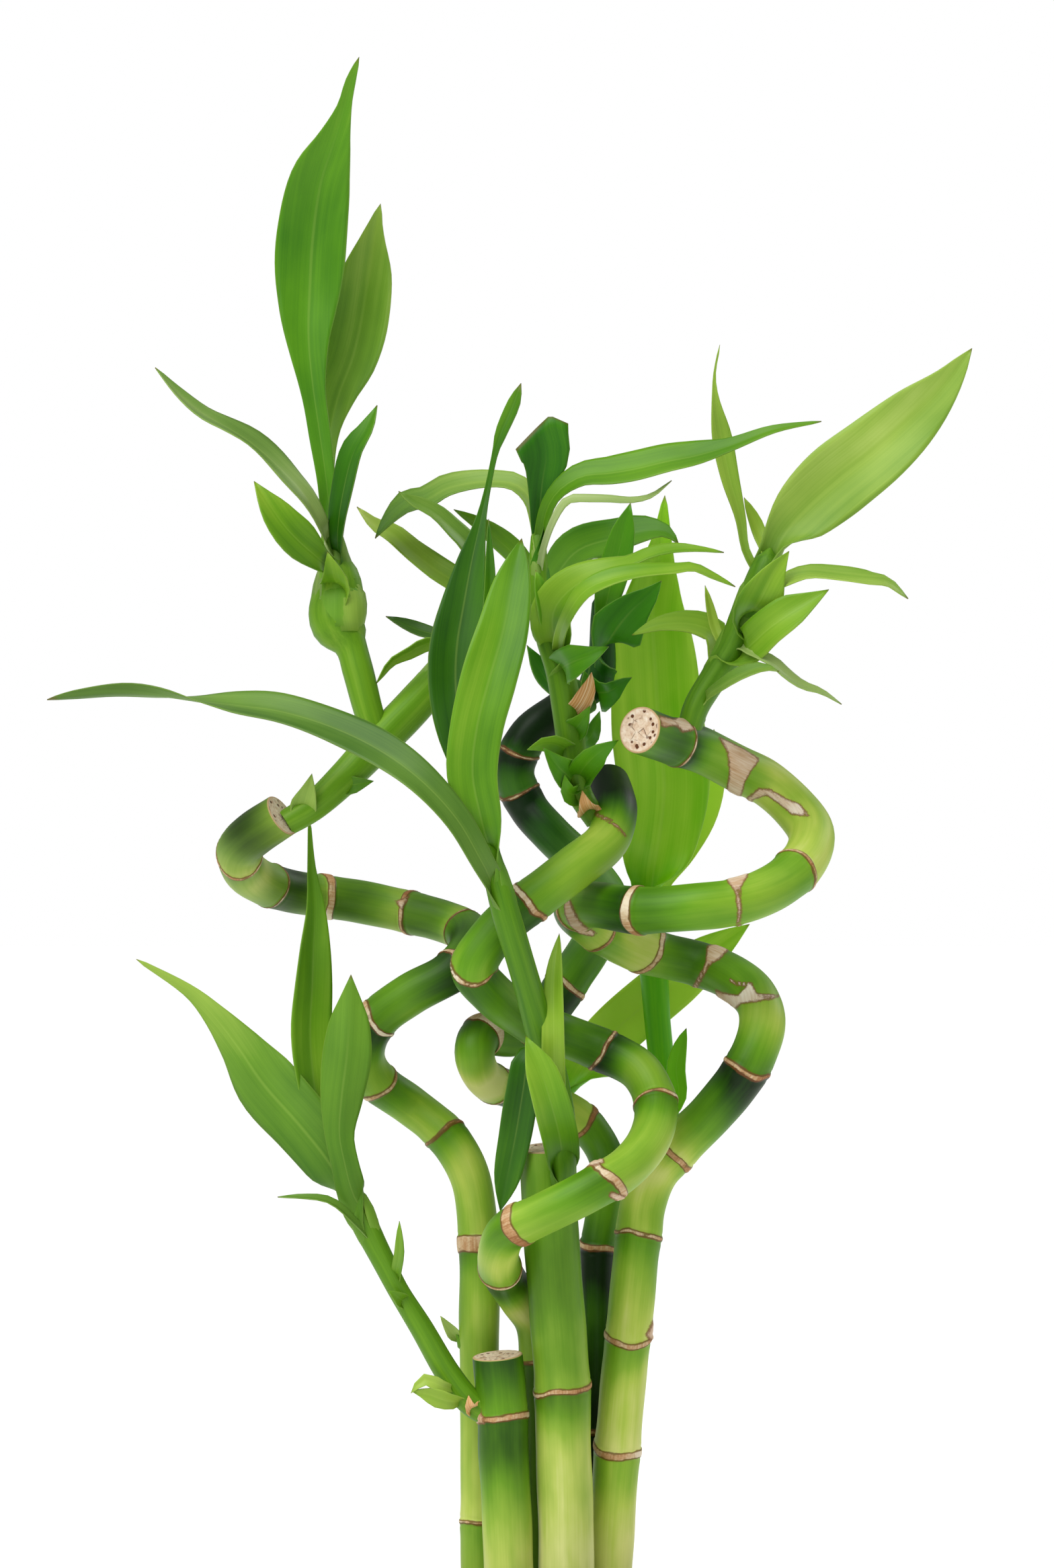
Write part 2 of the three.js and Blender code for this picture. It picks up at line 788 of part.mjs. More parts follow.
// A round solid through rings of points, closed at both ends by a fan
function ringedGeometry(rings, firstCentre, lastCentre) {
  const sides = rings[0].length;
  const points = [...rings.flat(), firstCentre, lastCentre];
  const foot = points.length - 2;
  const head = points.length - 1;
  const lastRing = (rings.length - 1) * sides;
  const faces = [];
  for (let side = 0; side < sides; side += 1) {
    const next = (side + 1) % sides;
    for (let ring = 0; ring < rings.length - 1; ring += 1) {
      const low = ring * sides;
      const high = low + sides;
      faces.push([low + side, low + next, high + next], [low + side, high + next, high + side]);
    }
    faces.push([foot, next, side], [head, lastRing + side, lastRing + next]);
  }
  return closedGeometry(points, faces);
}

// A round rod along a curve; radiusAt gives its radius at a share of the curve
function rodGeometry(curve, shares, radiusAt, sides) {
  let sideways = new THREE.Vector3(1, 0, 0);
  const rings = shares.map((share) => {
    const centre = curve.getPoint(share);
    const heading = curve.getTangent(share);
    sideways = sideways.clone().addScaledVector(heading, -sideways.dot(heading)).normalize();
    const across = new THREE.Vector3().crossVectors(heading, sideways);
    const ring = [];
    for (let side = 0; side < sides; side += 1) {
      const angle = (2 * Math.PI * side) / sides;
      const point = centre.clone().addScaledVector(sideways, Math.cos(angle) * radiusAt(share));
      ring.push(point.addScaledVector(across, Math.sin(angle) * radiusAt(share)));
    }
    return ring;
  });
  return ringedGeometry(rings, curve.getPoint(0), curve.getPoint(1));
}

// A thin solid on rows of middle points, each row moved both ways along its own normal
function bladeGeometry(rows, normals) {
  const columns = rows[0].length;
  const half = BLADE_THICKNESS / 2;
  const faceOn = (way) => rows.flatMap((row, index) => (
    row.map((point) => point.clone().addScaledVector(normals[index], way * half))
  ));
  const points = [...faceOn(1), ...faceOn(-1)];
  const under = rows.length * columns;
  const faces = [];
  const wall = (from, to) => {
    faces.push([from, from + under, to + under], [from, to + under, to]);
  };
  for (let row = 0; row < rows.length - 1; row += 1) {
    const start = row * columns;
    const next = start + columns;
    for (let column = 0; column < columns - 1; column += 1) {
      const [a, b, c, d] = [start + column, start + column + 1, next + column + 1, next + column];
      faces.push([a, b, c], [a, c, d]);
      faces.push([a + under, c + under, b + under], [a + under, d + under, c + under]);
    }
    wall(start + columns - 1, next + columns - 1);
    wall(next, start);
  }
  const lastRow = (rows.length - 1) * columns;
  for (let column = 0; column < columns - 1; column += 1) {
    wall(column, column + 1);
    wall(lastRow + column + 1, lastRow + column);
  }
  return closedGeometry(points, faces);
}

function signedVolume(geometry) {
  const position = geometry.getAttribute('position');
  const corners = [0, 1, 2].map(() => new THREE.Vector3());
  let volume = 0;
  for (let entry = 0; entry < geometry.index.count; entry += 3) {
    corners.forEach((corner, offset) => {
      corner.fromBufferAttribute(position, geometry.index.getX(entry + offset));
    });
    volume += corners[0].dot(corners[1].cross(corners[2])) / 6;
  }
  return volume;
}

// A closed mesh as a solid that can be joined and cut, with its faces pointing out
function solid(geometry) {
  geometry.deleteAttribute('normal');
  geometry.deleteAttribute('uv');
  const merged = mergeVertices(geometry, 1e-4);
  const triangles = Array.from(merged.index.array);
  if (signedVolume(merged) < 0) {
    triangles.reverse();
  }
  return new wasm.Manifold(new wasm.Mesh({
    numProp: 3,
    vertProperties: new Float32Array(merged.getAttribute('position').array),
    triVerts: new Uint32Array(triangles),
  }));
}

function joined(solids) {
  return solids.reduce((whole, piece) => whole.add(piece));
}

// The biggest body of a solid, without the loose scraps that a cut leaves
function biggest(whole) {
  return whole.decompose().reduce((best, piece) => (piece.volume() > best.volume() ? piece : best));
}

function meshOf(name, whole, colour, roughness) {
  const { vertProperties, triVerts } = whole.getMesh();
  const geometry = new THREE.BufferGeometry();
  geometry.setAttribute('position', new THREE.BufferAttribute(vertProperties, 3));
  geometry.setIndex(new THREE.BufferAttribute(triVerts, 1));
  geometry.computeVertexNormals();
  const mesh = new THREE.Mesh(geometry, new THREE.MeshStandardMaterial({ color: colour, roughness, metalness: 0 }));
  mesh.name = name;
  return mesh;
}

// Vase: a plain tapered cup, its profile closed on the axis
function vaseSolid() {
  const outline = new THREE.Path();
  const mouth = VASE_MOUTH_RADIUS - VASE_WALL;
  const foot = VASE_FOOT_RADIUS - VASE_WALL;
  outline.moveTo(0, 0);
  outline.lineTo(VASE_FOOT_RADIUS - VASE_EDGE, 0);
  outline.quadraticCurveTo(VASE_FOOT_RADIUS, 0, VASE_FOOT_RADIUS, VASE_EDGE);
  outline.lineTo(VASE_MOUTH_RADIUS, VASE_HEIGHT - VASE_EDGE);
  outline.quadraticCurveTo(VASE_MOUTH_RADIUS, VASE_HEIGHT, VASE_MOUTH_RADIUS - VASE_EDGE, VASE_HEIGHT);
  outline.lineTo(mouth + VASE_EDGE, VASE_HEIGHT);
  outline.quadraticCurveTo(mouth, VASE_HEIGHT, mouth, VASE_HEIGHT - VASE_EDGE);
  outline.lineTo(foot, VASE_FLOOR);
  outline.lineTo(0, VASE_FLOOR);
  return solid(new THREE.LatheGeometry(outline.getPoints(3), VASE_SIDES).rotateX(Math.PI / 2));
}

// The vase's inner radius at a height
function innerRadius(height) {
  const share = height / VASE_HEIGHT;
  return THREE.MathUtils.lerp(VASE_FOOT_RADIUS, VASE_MOUTH_RADIUS, share) - VASE_WALL;
}

// Pebble bed: a plug that fits the vase, with rounded stones standing out of its top
function bedSolid(canes) {
  const low = VASE_FLOOR + GAP;
  const outline = [
    new THREE.Vector2(0, low),
    new THREE.Vector2(innerRadius(low) - 2 * GAP, low),
    new THREE.Vector2(innerRadius(BED_TOP) - 2 * GAP, BED_TOP),
    new THREE.Vector2(0, BED_TOP),
  ];
  const plug = solid(new THREE.LatheGeometry(outline, VASE_SIDES).rotateX(Math.PI / 2));
  const goldenAngle = Math.PI * (3 - Math.sqrt(5));
  const reach = innerRadius(BED_TOP) - 2 * GAP - PEBBLE_RADIUS;
  const stones = [];
  for (let index = 0; index < PEBBLE_COUNT; index += 1) {
    const away = reach * Math.sqrt((index + 0.5) / PEBBLE_COUNT);
    const angle = index * goldenAngle;
    const stone = new THREE.IcosahedronGeometry(PEBBLE_RADIUS, 0);
    stone.scale(1, 0.8 + 0.2 * Math.cos(3 * index), 0.75);
    stone.rotateZ(2 * angle);
    stone.translate(away * Math.cos(angle), away * Math.sin(angle), BED_TOP + 0.9 * Math.sin(5 * index));
    stones.push(solid(stone));
  }
  return canes.reduce((bed, cane) => bed.subtract(cane), joined([plug, ...stones]));
}

// Cane: a rod from its foot in the pebbles along its route, with a raised ring at each node
function caneSolid({ radius, route, rings }, extra = 0) {
  const upper = route.map(place);
  const foot = new THREE.Vector3(upper[0].x, upper[0].y, CANE_FOOT - extra);
  const curve = new THREE.CatmullRomCurve3([foot, ...upper]);
  const last = curve.points.length - 1;
  const ringShares = rings.map((ring) => {
    const length = rowLength(curve, Math.min(Math.floor(ring), last - 1));
    return { share: ring / last, half: RING_HALF / length / last };
  });
  const edges = ringShares.flatMap(({ share, half }) => [share - half, share, share + half]);
  const clear = stationsAlong(curve, (row) => rowTurn(curve, row) / CANE_TURN).filter((share) => (
    ringShares.every((ring) => Math.abs(share - ring.share) > 2 * ring.half)
  ));
  const shares = [...clear, ...edges].sort((one, other) => one - other);
  const isCrest = (share) => ringShares.some((ring) => ring.share === share);
  const radiusAt = (share) => blend(radius, share) + extra + (isCrest(share) ? RING_HEIGHT : 0);
  return solid(rodGeometry(curve, shares, radiusAt, CANE_SIDES));
}

function stemSolid(rows) {
  const curve = new THREE.CatmullRomCurve3(rows.map(place));
  const radii = rows.map((row) => row[3]);
  const shares = stationsAlong(curve, (row) => rowLength(curve, row) / STEM_STEP);
  return solid(rodGeometry(curve, shares, (share) => blend(radii, share), STEM_SIDES));
}

// Leaf: a thin blade along its route, folded a little along the midrib
function leafSolid({ route, width, rolls, profile = LANCE }) {
  const fold = THREE.MathUtils.degToRad(16);
  const depthways = new THREE.Vector3(0, 1, 0);
  const lean = route[route.length - 1][0] > route[0][0] ? -1 : 1;
  const curve = new THREE.CatmullRomCurve3(route.map(place));
  const normals = [];
  const shares = stationsAlong(curve, (row) => rowLength(curve, row) / BLADE_STEP);
  const rows = shares.map((share) => {
    const heading = curve.getTangent(share);
    const side = new THREE.Vector3().crossVectors(heading, depthways).normalize();
    side.applyAxisAngle(heading, lean * THREE.MathUtils.degToRad(blend(rolls, share)));
    const normal = new THREE.Vector3().crossVectors(heading, side);
    const half = Math.max(width * blend(profile, share), TIP_WIDTH) / 2;
    normals.push(normal);
    return [-1, 0, 1].map((edge) => curve.getPoint(share)
      .addScaledVector(side, edge * half * Math.cos(fold))
      .addScaledVector(normal, Math.abs(edge) * half * Math.sin(fold)));
  });
  return solid(bladeGeometry(rows, normals));
}

// Shoot: its stems and leaves in one body, seated on the cane that it grows from
function shootSolid({ stems, leaves, cane }) {
  const whole = joined([...stems.map(stemSolid), ...leaves.map(leafSolid)]);
  const seat = caneSolid(CANES.find(({ name }) => name === cane), GAP);
  return biggest(whole.subtract(seat));
}

const bamboo = new THREE.Group();
bamboo.name = 'lucky_bamboo';
bamboo.add(meshOf('vase', vaseSolid(), COLOURS.vase, 0.2));
bamboo.add(meshOf('pebble_bed', bedSolid(CANES.map((cane) => caneSolid(cane, GAP))), COLOURS.pebbles, 0.7));
for (const cane of CANES) {
  bamboo.add(meshOf(cane.name, caneSolid(cane), cane.colour, 0.4));
}
for (const shoot of SHOOTS) {
  bamboo.add(meshOf(shoot.name, shootSolid(shoot), shoot.colour, 0.45));
}

export default bamboo;
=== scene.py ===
# Lucky bamboo in a vase of pebbles: its fine pieces, finishes, light and camera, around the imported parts.
# Metres, +Z up, the origin under the middle of the vase, the side with the short stub towards -Y.
import math

import bpy
import numpy as np
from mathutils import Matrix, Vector


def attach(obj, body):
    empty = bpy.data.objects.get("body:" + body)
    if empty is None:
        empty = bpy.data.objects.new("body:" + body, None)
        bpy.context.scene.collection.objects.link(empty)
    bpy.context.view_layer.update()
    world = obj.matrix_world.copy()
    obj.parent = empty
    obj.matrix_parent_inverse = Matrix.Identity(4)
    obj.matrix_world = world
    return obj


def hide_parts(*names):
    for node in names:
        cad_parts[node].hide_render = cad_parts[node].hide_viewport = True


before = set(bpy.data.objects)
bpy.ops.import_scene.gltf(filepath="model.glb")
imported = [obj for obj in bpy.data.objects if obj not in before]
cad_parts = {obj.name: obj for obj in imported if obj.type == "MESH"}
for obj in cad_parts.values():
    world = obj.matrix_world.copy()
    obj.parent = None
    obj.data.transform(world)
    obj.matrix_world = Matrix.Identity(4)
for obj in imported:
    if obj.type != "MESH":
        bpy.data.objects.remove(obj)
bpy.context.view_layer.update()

MM = 0.001
TURN = 2 * math.pi

# Vase and bed, in mm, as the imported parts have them
VASE_HEIGHT = 150
VASE_FOOT_RADIUS = 36
VASE_MOUTH_RADIUS = 41
VASE_WALL = 4
VASE_FLOOR = 6
VASE_LIP_ROUND = 1.7
FOOT_RING_INSETS = (2.2, 3.4)
FOOT_HOLLOW = 1.6
BED_TOP = 139
GRIT_BELOW_TOP = 2.5
CANE_FOOT = 15
GAP = 0.3
VASE_SIDES = 128
BED_SIDES = 96

# The sizes of the stones, in mm, each with how often one is dropped
STONES = ((6.2, 900), (4.6, 1600), (3.2, 2600))

# How far stones stay from the wall and from canes, in mm, and from each other, as part of their sizes
STONE_FROM_WALL = 1
STONE_FROM_CANE = 0.4
STONE_SPACING = 0.86

# How high the middle of the biggest stone lies over the bed's top, in mm, and how much lower a smaller one
STONE_RISE = 0.4
STONE_SINK = 0.25

# A stone's width and height as parts of its length, and how far it leans, in radians
STONE_WIDTHS = (0.74, 0.95)
STONE_HEIGHTS = (0.55, 0.72)
STONE_LEANS = (-0.25, 0.25)

# The reference view: one pixel is this many millimetres at the vase's axis
MM_PER_PIXEL = 0.18
VIEW_DISTANCE = 1500
VIEW_TILT = math.radians(3)
VIEW_AIM = np.array([-5.6, 0, 370])
VIEW_MIDDLE = (784, 1166.5)
VIEW_ROWS = 2333
VIEW_AHEAD = np.array([0, math.cos(VIEW_TILT), -math.sin(VIEW_TILT)])
VIEW_UP = np.array([0, math.sin(VIEW_TILT), math.cos(VIEW_TILT)])
VIEW_EYE = VIEW_AIM - VIEW_DISTANCE * VIEW_AHEAD

# Depths are read for the straight feet; from the feet's row up to the coils' row they grow by this much
COIL_DEPTH = 1.6
FEET_ROW = 2050
COIL_ROW = 1750

# How finely the plant is made, in mm
CANE_SIDES = 40
CANE_STEP = 1.4
RING_STEP = 0.35
STEM_SIDES = 24
STEM_STEP = 1.6
BLADE_STEP = 2.6
BLADE_COLUMNS = 13

# Node rings, in mm: the swelling at a ring, its thin lip with a soft rim, and the groove beside the lip
RING_SWELL = 0.3
RING_SWELL_REACH = 3.2
RING_LIP = 0.2
RING_LIP_REACH = 0.6
RING_RIM = 0.3
RING_GROOVE = 0.12
RING_GROOVE_AWAY = 1.1
RING_GROOVE_REACH = 0.45

# How a ring wanders along its cane, in mm: its lean, its waver and the dip at its bud, whose reach is in
# radians
RING_LEANS = (0.1, 0.4)
RING_WAVER = 0.25
BUD_DIP = 0.9
BUD_DIP_REACH = 0.45

# How far the deep green reaches down from a ring and the paler green up from it, in mm
DEEP_REACHES = (6, 13)
PALE_REACH = 4.5

# How far a torn sheath stands out, and the depth in it that stands for sound skin, in mm
TORN_RISE = 0.35
NOT_TORN = -9.0

# How uneven canes and stems are, and how long their swellings are, in mm
CANE_RIPPLE = 0.14
STEM_RIPPLE = 0.1
RIPPLE_LENGTHS = (18, 60)

# A cut end from its worn edge to its middle: parts of the radius, and how far they stand out, in mm
CUT_STEPS = (
    (1, 0), (0.975, 0.25), (0.93, 0.32), (0.8, 0.22), (0.6, 0.12), (0.4, 0.1), (0.2, 0.12), (0.05, 0.14))
FAR_FROM_RING = 50.0

# Leaf blades, in mm; their waves and tapered tips are measured in half widths
BLADE_THICKNESS = 0.32
BLADE_FOLD = math.radians(16)
BLADE_LEAST_WIDTH = 0.25
BLADE_TAPER = 2.4
BLADE_WAVE = 0.08
WAVE_LENGTHS = (30, 52)
TONE_SPREAD = 0.04

# Leaf bases, in mm: the sheath that wraps the stem, the stretch over which it opens, how far its edges are
# tucked in, and how far round the stem it reaches on each side at most, in radians
SHEATH = 15
LONGEST_OPENING = 18
BRACT_SHEATH = 5
BRACT_OPENING = 5
TUCK = 0.7
WIDEST_CLASP = 2.2

# Light that falls on the plant from all round, and from above
AIR_STRENGTH = 0.42
SKYLIGHT_STRENGTH = 2.4

# Greens from pale to deep, each at a depth from 0 to 1
CANE_GREENS = (
    (0.0, "#cdd377"), (0.15, "#aec44c"), (0.3, "#86ae2e"), (0.5, "#5e9312"), (0.7, "#3f7005"),
    (0.85, "#255001"), (1.0, "#072200"))
# Grey bloom greens; on the back cane's upper bend they also paint a pale sheen
BLOOM_AND_SHEEN_GREENS = (
    (0.0, "#d3e0c0"), (0.2, "#a9c594"), (0.4, "#7da767"), (0.6, "#4f8540"), (0.8, "#27601f"),
    (1.0, "#0b3009"))
OLIVE_GREENS = (
    (0.0, "#d2d592"), (0.15, "#b0ba64"), (0.3, "#8ea344"), (0.5, "#698528"), (0.7, "#4a6515"),
    (0.85, "#30470a"), (1.0, "#182a04"))
LEAF_GREENS = ((0.0, "#b8cf58"), (0.25, "#90b234"), (0.5, "#629214"), (0.75, "#386c05"), (1.0, "#164602"))
VIVID_GREENS = ((0.0, "#accb58"), (0.25, "#7eb228"), (0.5, "#4f900c"), (0.75, "#2b6b02"), (1.0, "#0d4400"))
GREY_GREENS = ((0.0, "#bfcba2"), (0.25, "#94a96c"), (0.5, "#6b8746"), (0.75, "#435f26"), (1.0, "#22380f"))
UNDER_GREENS = ((0.0, "#bdd074"), (0.3, "#95b446"), (0.6, "#639023"), (1.0, "#2f600a"))
# Greens of the back leaves that light shines through: their brightness is a painted backlit glow
BACKLIT_GREENS = ((0.0, "#b0dc40"), (0.3, "#74bc02"), (0.6, "#4fa000"), (1.0, "#2f7000"))
DARK_GREENS = ((0.0, "#6fa722"), (0.4, "#3c8504"), (0.7, "#1c5c01"), (1.0, "#083500"))

# Leaf widths from base to tip, as parts of the full width
LANCE = [0.4, 0.5, 0.76, 0.95, 1, 0.92, 0.74, 0.46, 0.05]
BRACT = [0.9, 1, 0.9, 0.6, 0.05]


class Ring:
    """A node ring: its place in rows from the foot, its width in mm, and how far it lies further up the cane
    on its near side and on the side to the left of the way up, in mm."""

    def __init__(self, place, width, bow=0, slant=0):
        self.place = place
        self.width = width
        self.bow = bow
        self.slant = slant


class Cane:
    """A cane as listed. A row of its route is [across, down, back, tone]: pixels of the view, a depth
    in mm behind the vase's axis, and how deep the green is; the tones also paint the light and shade that
    fall on each stretch. Radii in mm and casts are spread evenly from foot to top; a cast above 0 is more
    olive, below 0 has a grey bloom, which on the back cane's upper bend also paints a pale sheen. Torn
    sheaths are outlines in pixels.
    """

    def __init__(self, name, radii, casts, route, rings, torn=()):
        self.name = name
        self.radii = radii
        self.casts = casts
        self.route = route
        self.rings = [Ring(*ring) for ring in rings]
        self.torn = torn


class Leaf:
    """A leaf as listed: its width in mm, the rolls that turn the blade about its midrib, in degrees
    from facing the view, and its route from base to tip in rows of [across, down, back]. Rolls, widths and
    tones are spread evenly over the blade; tones above 0 are deeper, and they also paint the light and shade
    that each leaf shows. A cast above 0 is greyer, below 0 more vivid; dry runs from 0 to 1; a crown is the
    peak of a cut-off tip, in mm."""

    def __init__(self, width, rolls, route, profile=LANCE, tones=(0,), cast=0, dry=0, crown=0,
                 sheath=SHEATH):
        self.width = width
        self.rolls = rolls
        self.route = route
        self.profile = profile
        self.tones = tones
        self.cast = cast
        self.dry = dry
        self.crown = crown
        self.small = profile is BRACT
        self.sheath = BRACT_SHEATH if self.small else sheath


class Shoot:
    """A leafy shoot: its stems in rows of [across, down, back, radius] and its leaves."""

    def __init__(self, name, stems, leaves, slot="leaf", tone=0.5, stem_tone=0.55):
        self.name = name
        self.stems = stems
        self.leaves = leaves
        self.slot = slot
        self.tone = tone
        self.stem_tone = stem_tone


# The canes

CANE_STUB = Cane(
    "cane_stub", radii=[6.8, 6.9], casts=[0.5, 0.2],
    route=[
        [757, 2333, -12, 0.1], [752, 2220, -12, 0.35], [749, 2160, -12, 0.55], [748, 2105, -12, 0.5],
        [740, 2018, -12, 0.85]],
    rings=[[4, 1.4]],
    torn=[
        [[690, 2072], [708, 2076], [716, 2098], [722, 2118], [698, 2120]]])

CANE_LEFT = Cane(
    "cane_left", radii=[5.5, 6.1], casts=[0.4, 0.15, 0.3, 0.5, 0.8],
    route=[
        [715, 2333, 5, 0.1], [713, 1984, 5, 0.32], [709, 1802, 5, 0.3], [695, 1740, 6, 0.2],
        [662, 1688, 8, 0.35], [610, 1645, 10, 0.3], [559, 1606, 6, 0.4], [541, 1568, 2, 0.4],
        [561, 1518, -2, 0.65], [610, 1480, -4, 0.42], [672, 1445, -4, 0.7], [700, 1408, 1, 0.8],
        [690, 1384, 7, 0.35], [660, 1371, 10, 0.45], [600, 1355, 13, 0.38], [540, 1343, 14, 0.5],
        [485, 1334, 13, 0.35], [430, 1325, 9, 0.72], [388, 1312, 3, 0.45], [362, 1291, -3, 0.15],
        [358, 1262, -8, 0.45], [380, 1239, -12, 0.85], [418, 1214, -14, 0.5]],
    rings=[
        [1.18, 0.6], [2.7, 4.2], [5, 0.6], [6.9, 0.9], [9, 1.2, 1.6, 1.6], [11.1, 0.8], [12.9, 0.5, 2],
        [14.8, 1, 1.6, -0.8], [17, 2.6, 0, -1.2], [18.6, 0.5], [20.75, 0.8, -5]],
    torn=[
        [[587, 1341], [598, 1338], [609, 1333], [603, 1346], [598, 1354]]])

CANE_MIDDLE = Cane(
    "cane_middle", radii=[5.4, 6.2], casts=[0.5, 0.4, 0.2, 0.1, 0, 0],
    route=[
        [803, 2333, 5, 0.45], [803, 2200, 5, 0.6], [803, 2080, 5, 0.6], [802, 2010, 4, 0.42],
        [795, 1965, 2.5, 0.35], [772, 1932, -1, 0.1], [750, 1900, -8, 0.6], [741, 1866, -17, 0.2],
        [756, 1832, -23, 0.35], [804, 1808, -26, 0.4], [870, 1775, -26, 0.4], [935, 1735, -20, 0.3],
        [968, 1690, -14, 0.15], [975, 1640, -8, 0.4], [950, 1592, -4, 0.4], [897, 1563, -2, 0.75],
        [840, 1541, -2, 0.45], [778, 1513, -6, 0.62], [730, 1476, -14, 0.45], [705, 1440, -17, 0.45],
        [735, 1390, -17, 0.6], [784, 1345, -16, 0.55], [850, 1295, -12, 0.35], [903, 1250, -5, 0.4],
        # The deepest tones here paint the dark shade inside the curve at the cane's top.
        [915, 1208, 1, 1], [911, 1186, 6, 1.1], [904, 1168, 11, 1.1]],
    rings=[
        [3.83, 0.8], [7.4, 1.2, -1.5], [9.42, 2.4], [11.5, 1.8, -2.6, -1.8], [13.92, 1],
        [16, 0.8, -1, 1.5], [17.7, 0.8, -3], [20.15, 0.8, -3.6], [22.05, 1.3, -1.6]],
    torn=[
        [
            [858, 1214], [857, 1200], [866, 1184], [874, 1182], [884, 1195], [890, 1209], [878, 1214],
            [868, 1226]],
        [[888, 1210], [910, 1220], [932, 1243], [929, 1246], [908, 1225], [886, 1215]],
        [[868, 1728], [880, 1724], [898, 1724], [899, 1731], [886, 1735], [872, 1737]],
        [[903, 1771], [930, 1779], [934, 1789], [918, 1787], [905, 1780]]])

CANE_RIGHT = Cane(
    "cane_right", radii=[6.3, 6.4], casts=[0.1, 0.15, 0.2, 0.1, 0, 0.1, 0.1],
    route=[
        [907, 2333, 3, -0.03], [950, 1840, 3, 0.3], [957, 1790, 4, 0.2], [975, 1745, 5, -0.1],
        [1010, 1705, 5, 0.15], [1060, 1655, 2, 0.6], [1110, 1590, -2, 0.75], [1133, 1530, 0, 0.25],
        [1125, 1485, 6, 0.5], [1090, 1455, 12, 0.55], [1040, 1435, 17, 0.68], [960, 1415, 16, 0.2],
        [895, 1385, 10, 0.2], [858, 1355, 3, 0.4], [885, 1346, -4, 0.38], [955, 1355, -13, 0.72],
        [1030, 1350, -16, 0.52], [1100, 1340, -14, 0.38], [1160, 1315, -8, 0.3], [1200, 1275, -1, 0.15],
        [1205, 1235, 5, 0.15], [1180, 1200, 8, 0.2], [1140, 1165, 8, 0.15], [1100, 1145, 5, 0.35],
        [1040, 1115, 0, 0.4], [990, 1100, -6, 0.8], [952, 1086, -13, 0.6]],
    rings=[
        [1.31, 1.6, -1.5], [1.617, 1.2, -1.8], [2.02, 0.7], [4.75, 1.8], [7, 0.7], [11.95, 1.6, -1, 2.2],
        [13.1, 0.7], [14.3, 0.9], [15.95, 1.9], [19.5, 0.9], [25.6, 0.6]],
    torn=[
        [
            [1068, 1096], [1087, 1105], [1106, 1114], [1131, 1130], [1118, 1146], [1109, 1161],
            [1102, 1186], [1096, 1205], [1081, 1202], [1081, 1174], [1085, 1149], [1081, 1118]],
        [
            [1106, 1205], [1112, 1186], [1128, 1172], [1146, 1174], [1171, 1189], [1190, 1196],
            [1206, 1216], [1178, 1212], [1159, 1196], [1140, 1183], [1121, 1189], [1112, 1205]],
        [
            [1077, 1289], [1099, 1296], [1118, 1286], [1112, 1305], [1102, 1321], [1104, 1355],
            [1101, 1383], [1095, 1380], [1097, 1355], [1093, 1327], [1081, 1311]],
        [
            [840, 1340], [848, 1338], [853, 1350], [859, 1364], [870, 1377], [888, 1388], [882, 1393],
            [862, 1389], [848, 1377], [840, 1360]],
        [
            [1052, 1408], [1068, 1403], [1084, 1414], [1071, 1427], [1056, 1436], [1046, 1455],
            [1034, 1476], [1027, 1473], [1040, 1452], [1050, 1433]],
        [
            [1064, 1472], [1074, 1476], [1098, 1481], [1108, 1471], [1118, 1461], [1126, 1479],
            [1162, 1481], [1152, 1486], [1128, 1491], [1102, 1494], [1090, 1507], [1084, 1518],
            [1070, 1494]],
        [[1086, 1456], [1098, 1461], [1116, 1463], [1117, 1468], [1098, 1467], [1086, 1461]],
        [[978, 1064], [1003, 1071], [1015, 1061], [1034, 1086], [1015, 1090], [1006, 1080], [984, 1083]],
        [[960, 1986], [967, 1973], [974, 1957], [981, 1957], [980, 1990], [967, 1995]]])

CANE_CENTRE = Cane(
    "cane_centre", radii=[7.6, 7.6], casts=[0.6, 0.3],
    route=[
        [842, 2333, -9.5, 0.02], [841, 2225, -9.5, 0.12], [840, 2195, -9.5, 0.14], [838, 2140, -9.5, 0.17],
        [836, 2055, -9.5, 0.4], [821, 1850, -9.5, 0.62], [814, 1709, -9.5, 0.45]],
    rings=[[4.9, 1.1, 0, -0.9]])

CANE_BACK = Cane(
    # Its cast below 0 brings in the bloom, which on its upper bend also paints a pale sheen.
    "cane_back", radii=[5, 5, 5.2, 5.9, 5.6, 5.3], casts=[0.3, 0.1, 0.2, -0.5, 0],
    # Its tones paint the shadow under its curl and the dark shade near its top.
    route=[
        [885, 2333, 14, 0.7], [888, 2130, 14, 1], [888, 1980, 14, 0.85], [889, 1870, 14, 0.85],
        [900, 1790, 14, 0.5], [905, 1735, 14, 0.6], [885, 1690, 16, 0.35], [850, 1655, 16, 0.25],
        [800, 1634, 15, 0.4], [753, 1619, 10, 0.75], [719, 1603, 4, -0.15], [706, 1566, -1, 0.25],
        [716, 1541, 2, 0.55], [765, 1540, 8, 0.6], [806, 1514, 13, 0.62], [848, 1455, 18, 0.65],
        [882, 1403, 24, 0.6], [905, 1350, 24, 0.65], [870, 1290, 15, 0.5], [820, 1240, 12, 0.75],
        [785, 1200, 14, 0.85], [765, 1150, 14, 0.6], [785, 1095, 14, 1], [830, 1060, 16, 1],
        [870, 1035, 18, 0.7]],
    rings=[
        [2, 1.2], [4.15, 1.4], [7.45, 1.3, -0.5, -1.5], [10.55, 0.8, -3], [13.15, 4.2, -2],
        [15.8, 1.2, -2.4], [21.45, 0.5], [22.5, 0.4]])

CANES = [CANE_STUB, CANE_LEFT, CANE_MIDDLE, CANE_RIGHT, CANE_CENTRE, CANE_BACK]

# The leafy shoots

